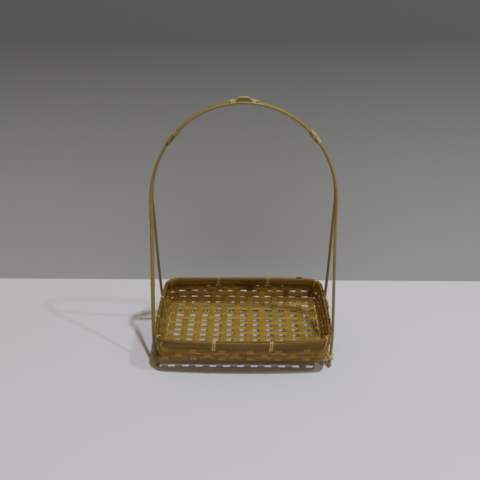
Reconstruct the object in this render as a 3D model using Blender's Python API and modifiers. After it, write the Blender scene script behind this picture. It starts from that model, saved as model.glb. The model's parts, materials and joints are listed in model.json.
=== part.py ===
"""A woven bamboo tray carried between two tall bent hoops.

Twelve wide stakes run front to back and twelve narrow weavers run left to right. They cross in a
plain weave to make the floor, fold up at its edges, pass through three woven wall bands and end
between two rim bands that rattan stitches hold together. Two hoops make the handle: they lie
together over the crown, part at the shoulders and stand on four legs. A cross bar under the floor
ties each pair of legs and carries the tray.

Lengths are in metres, +Z is up, the front faces -Y and the legs stand on z = 0.
"""

from math import cos, hypot, pi, sin, sqrt

import bmesh
import bpy
from mathutils import Vector

# Woven floor
STAKE_COUNT = 12
STAKE_PITCH = 0.0190
STAKE_WIDTH = 0.0095
STAKE_THICKNESS = 0.0009
STAKE_WAVE = 0.00035
WEAVER_COUNT = 12
WEAVER_PITCH = 0.0120
WEAVER_WIDTH = 0.0066
WEAVER_THICKNESS = 0.0008
FLOOR_HEIGHT = 0.0205
FOLD_ALLOWANCE = 0.00045

# Walls
FOLD_RADIUS = 0.0030
WALL_LEAN = 0.300
WALL_RISE = 0.0270
BAND_COUNT = 3
BAND_WIDTH = 0.0066
BAND_THICKNESS = 0.0008
FLOOR_CORNER_RADIUS = 0.0006
RIM_CORNER_RADIUS = 0.0175
FRONT_BOW = 0.0040
BACK_BOW = 0.0020
END_BOW = 0.0025
FRONT_SAG = 0.0030

# Rim
RIM_HEIGHT = 0.0125
RIM_THICKNESS = 0.0014
STAKE_END_DROP = 0.0010
STITCH_SLOT = 0.0016
STITCH_WIDTH = 0.0022
STITCH_THICKNESS = 0.0007
STITCH_LEAD = 0.0029
STITCH_START = -1.1
STITCH_TURNS = 2
SHORT_STITCH_TURNS = 1.25
STITCH_PITCHES = 2

# Hoops
ROD_RADIUS = 0.0021
FOOT_STUB = 0.0040
FOOT_HALF_WIDTH = 0.1185
FOOT_HALF_DEPTH = 0.0600
SPRING_HALF_WIDTH = 0.1200
SPRING_HEIGHT = 0.2200
CROWN_HEIGHT = 0.3540
SHOULDER_ANGLE = 0.750
SPLAY_ANGLE = 0.300
SPLAY_POWER = 1.30

# Cross bars
BAR_RADIUS = 0.0020
BAR_OVERHANG = 0.0035

# Rattan bindings
STRAND_RADIUS = 0.00062
STRAND_GAP = 0.00065
SHOULDER_TURNS = 6
SHOULDER_LEAD = 0.0033
CROWN_TURNS = 3
CROWN_WRAP_PLACE = 0.0125
CROWN_LOOP_RADIUS = 0.0010
CROWN_LOOP_RISE = 0.0040
CROWN_LOOP_HALF_LENGTH = 0.0185
CROWN_WINDOW_HALF_LENGTH = 0.0095
CROWN_WINDOW_END_SHARE = 0.45
TIE_TURNS = 3
BAR_WRAP_TURNS = 13
BAR_WRAP_LEAD = 0.0065
BAR_WRAP_START = 0.0950

# Fits
CLEARANCE = 0.0003
WEAVE_CLEARANCE = 0.0004
LASHING_CLEARANCE = 0.00045

# Counts along curves
ARCH_STEPS = 30
LEG_STEPS = 10
POINTS_PER_TURN = 12
STITCH_POINTS_PER_TURN = 8
BAR_WRAP_POINTS_PER_TURN = 8
LOOP_STEPS = 120
SECTION_STEPS = 24
CROWN_LOOP_STEPS = 20
BAR_FACETS = 12
ROD_RESOLUTION = 2
STRAND_RESOLUTION = 1
SMOOTH_ANGLE = 0.6

FRONT, RIGHT, BACK, LEFT = range(4)
SIDE_NAMES = ("front", "right", "back", "left")
BOWS = (FRONT_BOW, END_BOW, BACK_BOW, END_BOW)
SAGS = (FRONT_SAG, 0, 0, 0)
OUTWARD = (Vector((0, -1, 0)), Vector((1, 0, 0)), Vector((0, 1, 0)), Vector((-1, 0, 0)))
ALONG = (Vector((1, 0, 0)), Vector((0, 1, 0)), Vector((-1, 0, 0)), Vector((0, -1, 0)))
UP = Vector((0, 0, 1))

# Sizes that follow from those above
FLOOR_HALF_X = (STAKE_COUNT - 1) * STAKE_PITCH / 2 + STAKE_WIDTH / 2 + FOLD_ALLOWANCE
FLOOR_HALF_Y = (WEAVER_COUNT - 1) * WEAVER_PITCH / 2 + WEAVER_WIDTH / 2 + FOLD_ALLOWANCE
FOLD_ANGLE = pi / 2 - WALL_LEAN
FOLD_RUN = FOLD_RADIUS * FOLD_ANGLE
BOWL_RADIUS = (WALL_RISE - FOLD_RADIUS * (1 - cos(FOLD_ANGLE))) / cos(FOLD_ANGLE)
WALL_RUN = FOLD_RUN + BOWL_RADIUS * WALL_LEAN
WALL_FLARE = FOLD_RADIUS * sin(FOLD_ANGLE) + BOWL_RADIUS * (1 - sin(FOLD_ANGLE))
RIM_RUN = WALL_RUN + RIM_HEIGHT
BAND_PITCH = (WALL_RUN - STITCH_SLOT - BAND_WIDTH / 2) / BAND_COUNT
RIM_OFFSET = (STAKE_THICKNESS + RIM_THICKNESS) / 2 + CLEARANCE
RIM_FACE = RIM_OFFSET + RIM_THICKNESS / 2
ROD_SPACING = ROD_RADIUS + CLEARANCE / 2
FLOOR_WAVE = (
    (STAKE_THICKNESS + WEAVER_THICKNESS) / 2
    + WEAVE_CLEARANCE
    - STAKE_WAVE * (1 - WEAVER_WIDTH / WEAVER_PITCH)
)
STAKE_BAND_WAVE = (
    (STAKE_THICKNESS + BAND_THICKNESS) / 2
    + WEAVE_CLEARANCE
    - STAKE_WAVE * (1 - BAND_WIDTH / BAND_PITCH)
)
WEAVER_BAND_WAVE = STAKE_BAND_WAVE - (STAKE_THICKNESS - WEAVER_THICKNESS) / 2
FLOOR_UNDERSIDE = FLOOR_HEIGHT - FLOOR_WAVE - WEAVER_THICKNESS / 2
STRAND_DEPTH = 2 * STRAND_RADIUS + CLEARANCE
BAR_HEIGHT = FLOOR_UNDERSIDE - CLEARANCE - STRAND_DEPTH - BAR_RADIUS
STRAND_LEAD = 2 * STRAND_RADIUS + STRAND_GAP

# Colours as linear shares of red, green and blue
STAKE_COLOUR = (0.30, 0.17, 0.045)
WEAVER_COLOUR = (0.36, 0.24, 0.075)
RIM_COLOUR = (0.22, 0.13, 0.04)
ROD_COLOUR = (0.28, 0.18, 0.06)
RATTAN_COLOUR = (0.48, 0.38, 0.17)


def material(name, colour, roughness):
    """Return the named bamboo or rattan finish, made at its first use."""
    found = bpy.data.materials.get(name)
    if found:
        return found
    made = bpy.data.materials.new(name)
    made.use_nodes = True
    shader = made.node_tree.nodes["Principled BSDF"]
    shader.inputs["Base Color"].default_value = (*colour, 1)
    shader.inputs["Roughness"].default_value = roughness
    shader.inputs["Metallic"].default_value = 0
    return made


def stake_finish():
    """Split bamboo, skin side up."""
    return material("stake_bamboo", STAKE_COLOUR, 0.45)


def weaver_finish():
    """Pale split bamboo of the weavers and the wall bands."""
    return material("weaver_bamboo", WEAVER_COLOUR, 0.5)


def rim_finish():
    """Darker bamboo of the rim bands."""
    return material("rim_bamboo", RIM_COLOUR, 0.45)


def rod_finish():
    """Round bamboo of the hoops and the cross bars."""
    return material("rod_bamboo", ROD_COLOUR, 0.4)


def rattan_finish():
    """Pale rattan of the stitches and lashings."""
    return material("rattan", RATTAN_COLOUR, 0.6)


def place(obj, finish):
    """Put a finished piece in the basket's collection."""
    obj.data.materials.append(finish)
    basket.objects.link(obj)
    return obj


def ribbon(name, first_edge, second_edge, thickness, finish, closed=False):
    """A strip between two edges with as many points each, given its thickness by Solidify."""
    mesh = bpy.data.meshes.new(name)
    shape = bmesh.new()
    rail = [shape.verts.new(point) for point in first_edge]
    shape.verts.index_update()
    ends = rail[1:] + rail[:1] if closed else rail[1:]
    edges = [shape.edges.new(pair) for pair in zip(rail, ends)]
    swept = bmesh.ops.extrude_edge_only(shape, edges=edges)["geom"]
    sources = {vert: vert.index for vert in rail}
    for vert in (part for part in swept if isinstance(part, bmesh.types.BMVert)):
        source = next(sources[other] for edge in vert.link_edges
                      if (other := edge.other_vert(vert)) in sources)
        vert.co = second_edge[source]
    bmesh.ops.recalc_face_normals(shape, faces=shape.faces)
    shape.to_mesh(mesh)
    shape.free()
    piece = bpy.data.objects.new(name, mesh)
    skin = piece.modifiers.new("thickness", "SOLIDIFY")
    skin.thickness = thickness
    skin.offset = 0
    skin.use_even_offset = True
    return place(piece, finish)


def tube(name, points, radius, resolution, finish):
    """A round rod or strand along points, closed at both ends."""
    curve = bpy.data.curves.new(name, "CURVE")
    curve.dimensions = "3D"
    curve.bevel_depth = radius
    curve.bevel_resolution = resolution
    curve.use_fill_caps = True
    spline = curve.splines.new("POLY")
    spline.points.add(len(points) - 1)
    for spot, point in zip(spline.points, points):
        spot.co = (*point, 1)
        spot.radius = 1
    return place(bpy.data.objects.new(name, curve), finish)


def wall_profile(run):
    """Outward offset, height and steepness a given run up the wall from the floor's edge.

    The run is negative on the floor. The strips fold up round FOLD_RADIUS, then straighten
    slowly until they stand upright at the rim.
    """
    if run <= 0:
        return run, 0, 0
    if run < FOLD_RUN:
        angle = run / FOLD_RADIUS
        return FOLD_RADIUS * sin(angle), FOLD_RADIUS * (1 - cos(angle)), angle
    if run < WALL_RUN:
        angle = FOLD_ANGLE + (run - FOLD_RUN) / BOWL_RADIUS
        offset = FOLD_RADIUS * sin(FOLD_ANGLE) + BOWL_RADIUS * (sin(angle) - sin(FOLD_ANGLE))
        height = FOLD_RADIUS * (1 - cos(FOLD_ANGLE)) + BOWL_RADIUS * (cos(FOLD_ANGLE) - cos(angle))
        return offset, height, angle
    return WALL_FLARE, WALL_RISE + run - WALL_RUN, pi / 2


def side_sizes(side, offset):
    """Half length of a side, its distance from the middle and the corner's radius, at an offset."""
    half_x, half_y = FLOOR_HALF_X + offset, FLOOR_HALF_Y + offset
    growth_share = max(offset, 0) / WALL_FLARE
    corner = FLOOR_CORNER_RADIUS + (RIM_CORNER_RADIUS - FLOOR_CORNER_RADIUS) * growth_share
    if side in (FRONT, BACK):
        return half_x, half_y, corner
    return half_y, half_x, corner


def corner_reach(side, run):
    """Distance along a side from its middle to the middle of its corner."""
    half_length, _, corner = side_sizes(side, wall_profile(run)[0])
    return half_length - corner + corner * pi / 4


def tray_point(side, along, run, proud=0):
    """A point on the woven sheet: along a side from its middle, run up the wall, proud outwards."""
    offset, height, steepness = wall_profile(run)
    half_length, distance, corner = side_sizes(side, offset)
    if run <= 0:
        plan = ALONG[side] * along + OUTWARD[side] * distance
        return plan + UP * (FLOOR_HEIGHT - proud)
    turn = max(abs(along) - (half_length - corner), 0) / corner
    sense = -1 if along < 0 else 1
    straight = sense * min(abs(along), half_length - corner)
    bow_share = max(1 - (along / corner_reach(side, run)) ** 2, 0) * min(height / WALL_RISE, 1)
    facing = OUTWARD[side] * cos(turn) + ALONG[side] * sense * sin(turn)
    plan = ALONG[side] * straight + OUTWARD[side] * (distance - corner)
    plan += facing * (corner + BOWS[side] * bow_share)
    normal = facing * sin(steepness) - UP * cos(steepness)
    return plan + UP * (FLOOR_HEIGHT + height - SAGS[side] * bow_share) + normal * proud


def stake_place(index):
    """Distance of a stake from the middle, along X."""
    return (index - (STAKE_COUNT - 1) / 2) * STAKE_PITCH


def weaver_place(index):
    """Distance of a weaver from the middle, along Y."""
    return (index - (WEAVER_COUNT - 1) / 2) * WEAVER_PITCH


def band_run(index):
    """Run up the wall to the middle line of a wall band."""
    return WALL_RUN - STITCH_SLOT - BAND_WIDTH / 2 - (BAND_COUNT - 1 - index) * BAND_PITCH


def stake_inside(stake, weaver):
    """Whether a stake passes over, or inside, a weaver. Wall bands count on past the weavers."""
    return (stake + weaver) % 2 == 0


def between(run, low, high):
    """Proud of the strip at a run that lies between two crossings, each (run, proud)."""
    share = (run - low[0]) / (high[0] - low[0])
    return low[1] + share * (high[1] - low[1])


def rising_crossings(inside_of_band):
    """Where a strip stands as it goes up a wall: its run and proud at each band, and at the rim."""
    rise = [(band_run(band), -STAKE_WAVE if inside_of_band(band) else STAKE_WAVE)
            for band in range(BAND_COUNT)]
    return rise + [(WALL_RUN, 0), (RIM_RUN - STAKE_END_DROP, 0)]


def with_fold(last_on_floor, rise):
    """A strip's stations up one wall, with the fold's own stations put in before them."""
    fold = [(run, between(run, last_on_floor, rise[0])) for run in (0, FOLD_RUN / 2, FOLD_RUN)]
    return fold + rise


def strip(name, sides, width, thickness, place_on, floor, rises, finish):
    """A floor strip that folds up at both ends.

    sides are the walls at its two ends, place_on its distance along each of them, floor its
    (run, proud) stations as each side counts them, and rises its stations up each wall.
    """
    edges = []
    for shift in (-width / 2, width / 2):
        first, second = sides
        points = [tray_point(first, place_on + shift, *station) for station in reversed(rises[0])]
        points += [tray_point(first, place_on + shift, *station) for station in floor]
        points += [tray_point(second, -place_on - shift, *station) for station in rises[1]]
        edges.append(points)
    ribbon(name, edges[0], edges[1], thickness, finish)


def make_stakes():
    """The wide stakes, which run front to back and bend little at each crossing."""
    for stake in range(STAKE_COUNT):
        floor = [(-(weaver_place(weaver) + FLOOR_HALF_Y),
                  -STAKE_WAVE if stake_inside(stake, weaver) else STAKE_WAVE)
                 for weaver in range(WEAVER_COUNT)]
        last_back = (-(FLOOR_HALF_Y - weaver_place(WEAVER_COUNT - 1)), floor[-1][1])
        rises = (
            with_fold(floor[0], rising_crossings(lambda band: stake_inside(stake, -1 - band))),
            with_fold(last_back,
                      rising_crossings(lambda band: stake_inside(stake, WEAVER_COUNT + band))),
        )
        strip(f"stake_{stake + 1:02d}", (FRONT, BACK), STAKE_WIDTH, STAKE_THICKNESS,
              stake_place(stake), floor, rises, stake_finish())


def make_weavers():
    """The narrow weavers, which run left to right and step over and under the flat stakes."""
    half_flat = STAKE_WIDTH / 2 + CLEARANCE
    for weaver in range(WEAVER_COUNT):
        floor = []
        for stake in range(STAKE_COUNT):
            proud = FLOOR_WAVE if stake_inside(stake, weaver) else -FLOOR_WAVE
            for shift in (-half_flat, half_flat):
                floor.append((-(stake_place(stake) + shift + FLOOR_HALF_X), proud))
        last_right = (-(2 * FLOOR_HALF_X + floor[-1][0]), floor[-1][1])
        rises = (
            with_fold(floor[0],
                      rising_crossings(lambda band: not stake_inside(-1 - band, weaver))),
            with_fold(last_right,
                      rising_crossings(lambda band: not stake_inside(STAKE_COUNT + band, weaver))),
        )
        strip(f"weaver_{weaver + 1:02d}", (LEFT, RIGHT), WEAVER_WIDTH, WEAVER_THICKNESS,
              -weaver_place(weaver), floor, rises, weaver_finish())


def uprights(side):
    """The strips that rise through a side in the order of its length: (along, half width, index)."""
    if side in (FRONT, BACK):
        row = [(stake_place(stake), STAKE_WIDTH / 2, stake) for stake in range(STAKE_COUNT)]
    else:
        row = [(weaver_place(weaver), WEAVER_WIDTH / 2, weaver) for weaver in range(WEAVER_COUNT)]
    if side in (FRONT, RIGHT):
        return row
    return [(-along, half_width, index) for along, half_width, index in reversed(row)]


def upright_inside(side, index, band):
    """Whether the upright of that index passes inside a wall band."""
    if side == FRONT:
        return stake_inside(index, -1 - band)
    if side == BACK:
        return stake_inside(index, WEAVER_COUNT + band)
    if side == LEFT:
        return not stake_inside(-1 - band, index)
    return not stake_inside(STAKE_COUNT + band, index)


def make_wall_bands():
    """The hoops woven through the uprights, each a closed ring that steps in and out."""
    for band, level in enumerate(("lower", "middle", "upper")):
        run = band_run(band)
        low_edge, high_edge = [], []
        for side in (FRONT, RIGHT, BACK, LEFT):
            wave = STAKE_BAND_WAVE if side in (FRONT, BACK) else WEAVER_BAND_WAVE
            stations = []
            for along, half_width, index in uprights(side):
                proud = wave if upright_inside(side, index, band) else -wave
                stations.append((along - half_width - CLEARANCE, proud))
                stations.append((along + half_width + CLEARANCE, proud))
            stations.append((corner_reach(side, run), 0))
            for along, proud in stations:
                low_edge.append(tray_point(side, along, run - BAND_WIDTH / 2, proud))
                high_edge.append(tray_point(side, along, run + BAND_WIDTH / 2, proud))
        ribbon(f"wall_band_{level}", low_edge, high_edge, BAND_THICKNESS, weaver_finish(), True)


def make_rim_band(name, proud):
    """A rim band, flat against the upper ends of the uprights all the way round."""
    low_edge, high_edge = [], []
    for side in (FRONT, RIGHT, BACK, LEFT):
        row = uprights(side)
        ends = [row[0], row[1], row[-2], row[-1]]
        stations = [along + shift * (half_width + CLEARANCE)
                    for along, half_width, _ in ends for shift in (-1, 1)]
        middle = [along for along, _, _ in row[3:-3:2]]
        stations = sorted(stations + middle) + [corner_reach(side, RIM_RUN)]
        for along in stations:
            low_edge.append(tray_point(side, along, WALL_RUN, proud))
            high_edge.append(tray_point(side, along, RIM_RUN, proud))
    ribbon(name, low_edge, high_edge, RIM_THICKNESS, rim_finish(), True)


def beside_discs(discs, stand_off, angle):
    """Point in one direction on a loop drawn taut round discs, each (across, up, radius)."""
    out = (cos(angle), sin(angle))
    across, up, radius = max(discs, key=lambda disc: disc[0] * out[0] + disc[1] * out[1] + disc[2])
    return across + (radius + stand_off) * out[0], up + (radius + stand_off) * out[1]


def round_discs(discs, stand_off, angle):
    """Point on a loop drawn taut round discs, as far along it as the angle is of a full turn."""
    loop = [beside_discs(discs, stand_off, 2 * pi * step / LOOP_STEPS)
            for step in range(LOOP_STEPS + 1)]
    lengths = [hypot(end[0] - start[0], end[1] - start[1]) for start, end in zip(loop, loop[1:])]
    remaining = sum(lengths) * (angle / (2 * pi) % 1)
    for start, end, length in zip(loop, loop[1:], lengths):
        if 0 < length and remaining <= length:
            share = remaining / length
            return start[0] + (end[0] - start[0]) * share, start[1] + (end[1] - start[1]) * share
        remaining -= length
    return loop[-1]


def make_stitch(name, side, along, turns):
    """A flat rattan strand wound round both rim bands, through the slot below them."""
    discs = [(across, up, 0) for across in (-RIM_FACE, RIM_FACE) for up in (0, RIM_HEIGHT)]
    stand_off = CLEARANCE + STITCH_THICKNESS / 2
    steps = round(turns * STITCH_POINTS_PER_TURN)
    edges = ([], [])
    for step in range(steps + 1):
        angle = STITCH_START + 2 * pi * step / STITCH_POINTS_PER_TURN
        proud, up = beside_discs(discs, stand_off, angle)
        drift = STITCH_LEAD * (step - steps / 2) / STITCH_POINTS_PER_TURN
        for edge, shift in zip(edges, (-STITCH_WIDTH / 2, STITCH_WIDTH / 2)):
            point = tray_point(side, along + drift + shift, WALL_RUN, proud)
            edge.append(point + UP * up)
    ribbon(name, edges[0], edges[1], STITCH_THICKNESS, rattan_finish())


def make_stitches():
    """Two stitches on each side and one at each corner, all between uprights."""
    long_place = STITCH_PITCHES * STAKE_PITCH
    short_place = STITCH_PITCHES * WEAVER_PITCH
    for side, near, far in ((FRONT, "left", "right"), (BACK, "right", "left")):
        make_stitch(f"rim_stitch_{SIDE_NAMES[side]}_{near}", side, -long_place, STITCH_TURNS)
        make_stitch(f"rim_stitch_{SIDE_NAMES[side]}_{far}", side, long_place, STITCH_TURNS)
    for side, near, far in ((RIGHT, "front", "back"), (LEFT, "back", "front")):
        make_stitch(f"rim_stitch_{SIDE_NAMES[side]}_{near}", side, -short_place, SHORT_STITCH_TURNS)
        make_stitch(f"rim_stitch_{SIDE_NAMES[side]}_{far}", side, short_place, SHORT_STITCH_TURNS)
    corners = ((FRONT, "front_right"), (RIGHT, "back_right"), (BACK, "back_left"),
               (LEFT, "front_left"))
    for side, corner in corners:
        make_stitch(f"rim_stitch_corner_{corner}", side, corner_reach(side, WALL_RUN),
                    SHORT_STITCH_TURNS)


def splay(height):
    """Distance of a hoop's middle line from the object's middle plane, at a height."""
    shoulder = SPRING_HEIGHT + (CROWN_HEIGHT - SPRING_HEIGHT) * sin(SPLAY_ANGLE)
    share = max(1 - height / shoulder, 0) ** SPLAY_POWER
    return ROD_SPACING + (FOOT_HALF_DEPTH - ROD_SPACING) * share


def rim_half_width():
    """Distance of a leg's middle line from the middle where the leg bears on the rim."""
    rim_height = FLOOR_HEIGHT + WALL_RISE + RIM_HEIGHT / 2
    face = tray_point(RIGHT, splay(rim_height), WALL_RUN, RIM_FACE)
    return face.x + CLEARANCE + ROD_RADIUS


def leg_half_width(height):
    """Half the width between the legs: a smooth line through the foot, the rim and the spring."""
    rim_height = FLOOR_HEIGHT + WALL_RISE + RIM_HEIGHT / 2
    at_rim = rim_half_width()
    if height < rim_height:
        share = height / rim_height
        return FOOT_HALF_WIDTH + (at_rim - FOOT_HALF_WIDTH) * share * (2 - share)
    share = (height - rim_height) / (SPRING_HEIGHT - rim_height)
    blend = share * share * (3 - 2 * share)
    return at_rim + (SPRING_HALF_WIDTH - at_rim) * blend


def arch_point(angle):
    """Place on the arch in the hoop's plane, at an angle up from the right spring."""
    across = SPRING_HALF_WIDTH * cos(angle)
    return Vector((across, 0, SPRING_HEIGHT + (CROWN_HEIGHT - SPRING_HEIGHT) * sin(angle)))


def arch_frame(angle):
    """Place, direction along the rod towards +X and outward direction, on the arch."""
    spot = arch_point(angle)
    heading = Vector((SPRING_HALF_WIDTH * sin(angle), 0,
                      -(CROWN_HEIGHT - SPRING_HEIGHT) * cos(angle))).normalized()
    return spot, heading, heading.cross(OUTWARD[BACK])


def hoop_line(sense):
    """Middle line of the front (-1) or back (+1) hoop, from the right foot to the left one."""
    leg = [Vector((FOOT_HALF_WIDTH, 0, 0)), Vector((FOOT_HALF_WIDTH, 0, FOOT_STUB))]
    for step in range(1, LEG_STEPS):
        height = FOOT_STUB + (SPRING_HEIGHT - FOOT_STUB) * step / LEG_STEPS
        leg.append(Vector((leg_half_width(height), 0, height)))
    arch = [arch_point(pi * step / ARCH_STEPS) for step in range(ARCH_STEPS + 1)]
    other_leg = [Vector((-point.x, 0, point.z)) for point in reversed(leg)]
    line = leg + arch + other_leg
    for point in line:
        point.y = sense * splay(max(point.z, FOOT_STUB))
    return line


def make_hoops():
    """The two bent rods of the handle."""
    tube("front_hoop", hoop_line(-1), ROD_RADIUS, ROD_RESOLUTION, rod_finish())
    tube("back_hoop", hoop_line(1), ROD_RADIUS, ROD_RESOLUTION, rod_finish())


def lower_leg(x_sense, y_sense):
    """A leg's place at the height of the cross bars and its direction there, upwards."""
    low, high = hoop_line(y_sense)[1:3]
    heading = high - low
    spot = low + heading * ((BAR_HEIGHT - low.z) / heading.z)
    spot.x *= x_sense
    heading.x *= x_sense
    return spot, heading.normalized()


def bar_depth():
    """Distance of a cross bar from the middle plane: just inside the legs that it joins."""
    spot, heading = lower_leg(1, 1)
    lean_share = heading.z / hypot(heading.y, heading.z)
    return spot.y - (ROD_RADIUS + BAR_RADIUS + CLEARANCE) / lean_share


def make_cross_bars():
    """The bars below the floor that the tray rests on, each tied to a pair of legs."""
    spot, _ = lower_leg(1, 1)
    length = 2 * (spot.x + ROD_RADIUS + BAR_OVERHANG)
    for name, sense in (("front", -1), ("back", 1)):
        bpy.ops.mesh.primitive_cylinder_add(vertices=BAR_FACETS, radius=BAR_RADIUS, depth=length,
                                            location=(0, sense * bar_depth(), BAR_HEIGHT),
                                            rotation=(0, pi / 2, 0))
        bar = bpy.context.object
        bar.name = bar.data.name = f"{name}_cross_bar"
        for holder in bar.users_collection:
            holder.objects.unlink(bar)
        place(bar, rod_finish())


def least_gap(points, points_per_turn):
    """Least free distance between neighbouring turns of a winding."""
    apart = points_per_turn // 2
    nearest = min((first - second).length
                  for index, first in enumerate(points) for second in points[index + apart:])
    return nearest - 2 * STRAND_RADIUS


def winding(name, turns, points_per_turn, locate):
    """An unbroken strand. locate gives its point from an angle and the turns from its middle."""
    steps = turns * points_per_turn
    points = [locate(2 * pi * step / points_per_turn, (step - steps / 2) / points_per_turn)
              for step in range(steps + 1)]
    print(f"{name}: least gap between turns {least_gap(points, points_per_turn):.5f} m")
    tube(name, points, STRAND_RADIUS, STRAND_RESOLUTION, rattan_finish())


def rod_discs():
    """Sections of the two rods where they lie together."""
    return [(-ROD_SPACING, 0, ROD_RADIUS), (ROD_SPACING, 0, ROD_RADIUS)]


def bind_rods(name, turns, lead, middle_angle, discs):
    """A lashing square across both rods, which follows the arch."""
    angle_per_turn = lead / hypot(SPRING_HALF_WIDTH * sin(middle_angle),
                                  (CROWN_HEIGHT - SPRING_HEIGHT) * cos(middle_angle))

    def locate(turn_angle, turns_along):
        spot, _, outward = arch_frame(middle_angle - angle_per_turn * turns_along)
        across, up = round_discs(discs, LASHING_CLEARANCE + STRAND_RADIUS, turn_angle)
        return spot + OUTWARD[BACK] * across + outward * up

    winding(name, turns, POINTS_PER_TURN, locate)


def make_shoulder_lashings():
    """The lashings that end the stretch where the two rods lie together."""
    for name, angle in (("right", SHOULDER_ANGLE), ("left", pi - SHOULDER_ANGLE)):
        bind_rods(f"shoulder_lashing_{name}", SHOULDER_TURNS, SHOULDER_LEAD, angle, rod_discs())


def groove_height():
    """Height of the crown loop's strand above the rods, where it lies in the groove between."""
    return sqrt((ROD_RADIUS + CROWN_LOOP_RADIUS + CLEARANCE) ** 2 - ROD_SPACING**2)


def make_crown():
    """The raised rattan loop at the crown and the two wraps that hold its ends down."""
    discs = rod_discs() + [(0, groove_height(), CROWN_LOOP_RADIUS)]
    wrap_angle = pi / 2 - CROWN_WRAP_PLACE / SPRING_HALF_WIDTH
    for name, angle in (("right", wrap_angle), ("left", pi - wrap_angle)):
        bind_rods(f"crown_wrap_{name}", CROWN_TURNS, STRAND_LEAD, angle, discs)
    points = []
    end_angle = CROWN_LOOP_HALF_LENGTH / SPRING_HALF_WIDTH
    window_angle = CROWN_WINDOW_HALF_LENGTH / SPRING_HALF_WIDTH
    rise_angle = window_angle * CROWN_WINDOW_END_SHARE
    for step in range(CROWN_LOOP_STEPS + 1):
        turn = end_angle * (2 * step / CROWN_LOOP_STEPS - 1)
        spot, _, outward = arch_frame(pi / 2 + turn)
        lift_share = min(max((window_angle - abs(turn)) / rise_angle, 0), 1)
        lift = CROWN_LOOP_RISE * lift_share * lift_share * (3 - 2 * lift_share)
        points.append(spot + outward * (groove_height() + lift))
    tube("crown_loop", points, CROWN_LOOP_RADIUS, ROD_RESOLUTION, rattan_finish())


def rod_section(spot, heading, radius, origin, slant):
    """Outline of a straight rod cut by a plane along Y and slant, as discs of no size on it."""
    normal = ALONG[RIGHT].cross(slant)
    beside = heading.cross(normal).normalized()
    behind = heading.cross(beside)
    outline = []
    for step in range(SECTION_STEPS):
        angle = 2 * pi * step / SECTION_STEPS
        point = spot + (beside * cos(angle) + behind * sin(angle)) * radius
        point += heading * ((origin - point).dot(normal) / heading.dot(normal))
        outline.append((point.y - origin.y, (point - origin).dot(slant), 0))
    return outline


def make_leg_tie(name, x_sense, y_sense):
    """A slanting lashing round a leg and the cross bar that passes behind it."""
    leg_spot, leg_heading = lower_leg(x_sense, y_sense)
    middle = Vector((leg_spot.x, y_sense * bar_depth(), BAR_HEIGHT))
    slant = Vector((x_sense, 0, 1)).normalized()
    advance = Vector((x_sense, 0, -1)).normalized()
    reach = LASHING_CLEARANCE + STRAND_RADIUS

    def locate(turn_angle, turns_along):
        origin = middle + advance * STRAND_LEAD * turns_along
        outline = rod_section(leg_spot, leg_heading, ROD_RADIUS + reach, origin, slant)
        outline += rod_section(middle, ALONG[FRONT], BAR_RADIUS + reach, origin, slant)
        across, up = round_discs(outline, 0, turn_angle)
        return origin + ALONG[RIGHT] * across + slant * up

    winding(name, TIE_TURNS, POINTS_PER_TURN, locate)


def make_leg_ties():
    """One tie at each leg."""
    for y_name, y_sense in (("front", -1), ("back", 1)):
        for x_name, x_sense in (("left", -1), ("right", 1)):
            make_leg_tie(f"leg_tie_{y_name}_{x_name}", x_sense, y_sense)


def make_bar_wraps():
    """The open spirals of rattan on the cross bars, which seat the floor."""
    reach = BAR_RADIUS + CLEARANCE + STRAND_RADIUS
    middle_x = -BAR_WRAP_START + BAR_WRAP_TURNS * BAR_WRAP_LEAD / 2
    for name, sense in (("front", -1), ("back", 1)):

        def locate(turn_angle, turns_along):
            return Vector((middle_x + BAR_WRAP_LEAD * turns_along,
                           sense * bar_depth() + reach * cos(turn_angle),
                           BAR_HEIGHT + reach * sin(turn_angle)))

        winding(f"{name}_bar_wrap", BAR_WRAP_TURNS, BAR_WRAP_POINTS_PER_TURN, locate)


def smooth_round_pieces():
    """Shade the rods, strands and bars smooth."""
    for piece in basket.objects:
        if piece.type == "MESH" and piece.name.endswith("_bar"):
            piece.data.shade_smooth()
            piece.data.set_sharp_from_angle(angle=SMOOTH_ANGLE)


for leftover in list(bpy.data.objects):
    bpy.data.objects.remove(leftover)
basket = bpy.data.collections.new("bamboo_basket")
bpy.context.scene.collection.children.link(basket)

make_stakes()
make_weavers()
make_wall_bands()
make_rim_band("inner_rim_band", -RIM_OFFSET)
make_rim_band("outer_rim_band", RIM_OFFSET)
make_stitches()
make_hoops()
make_cross_bars()
make_shoulder_lashings()
make_crown()
make_leg_ties()
make_bar_wraps()
smooth_round_pieces()
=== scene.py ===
"""The woven bamboo basket, dressed: every strip, rim band, rod and turn of rattan has its own mesh.

The tray's pieces are swept over one bent sheet, so strips, bands and stitches meet as they do in
the solids. The lengths are in metres, +Z is up and the front faces -Y.
"""

import json
import logging
from bisect import bisect_right
from collections.abc import Callable, Sequence
from dataclasses import dataclass, replace
from enum import Enum
from functools import cached_property, reduce
from math import cos, exp, hypot, pi, sin, sqrt
from random import Random
from typing import Protocol

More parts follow.
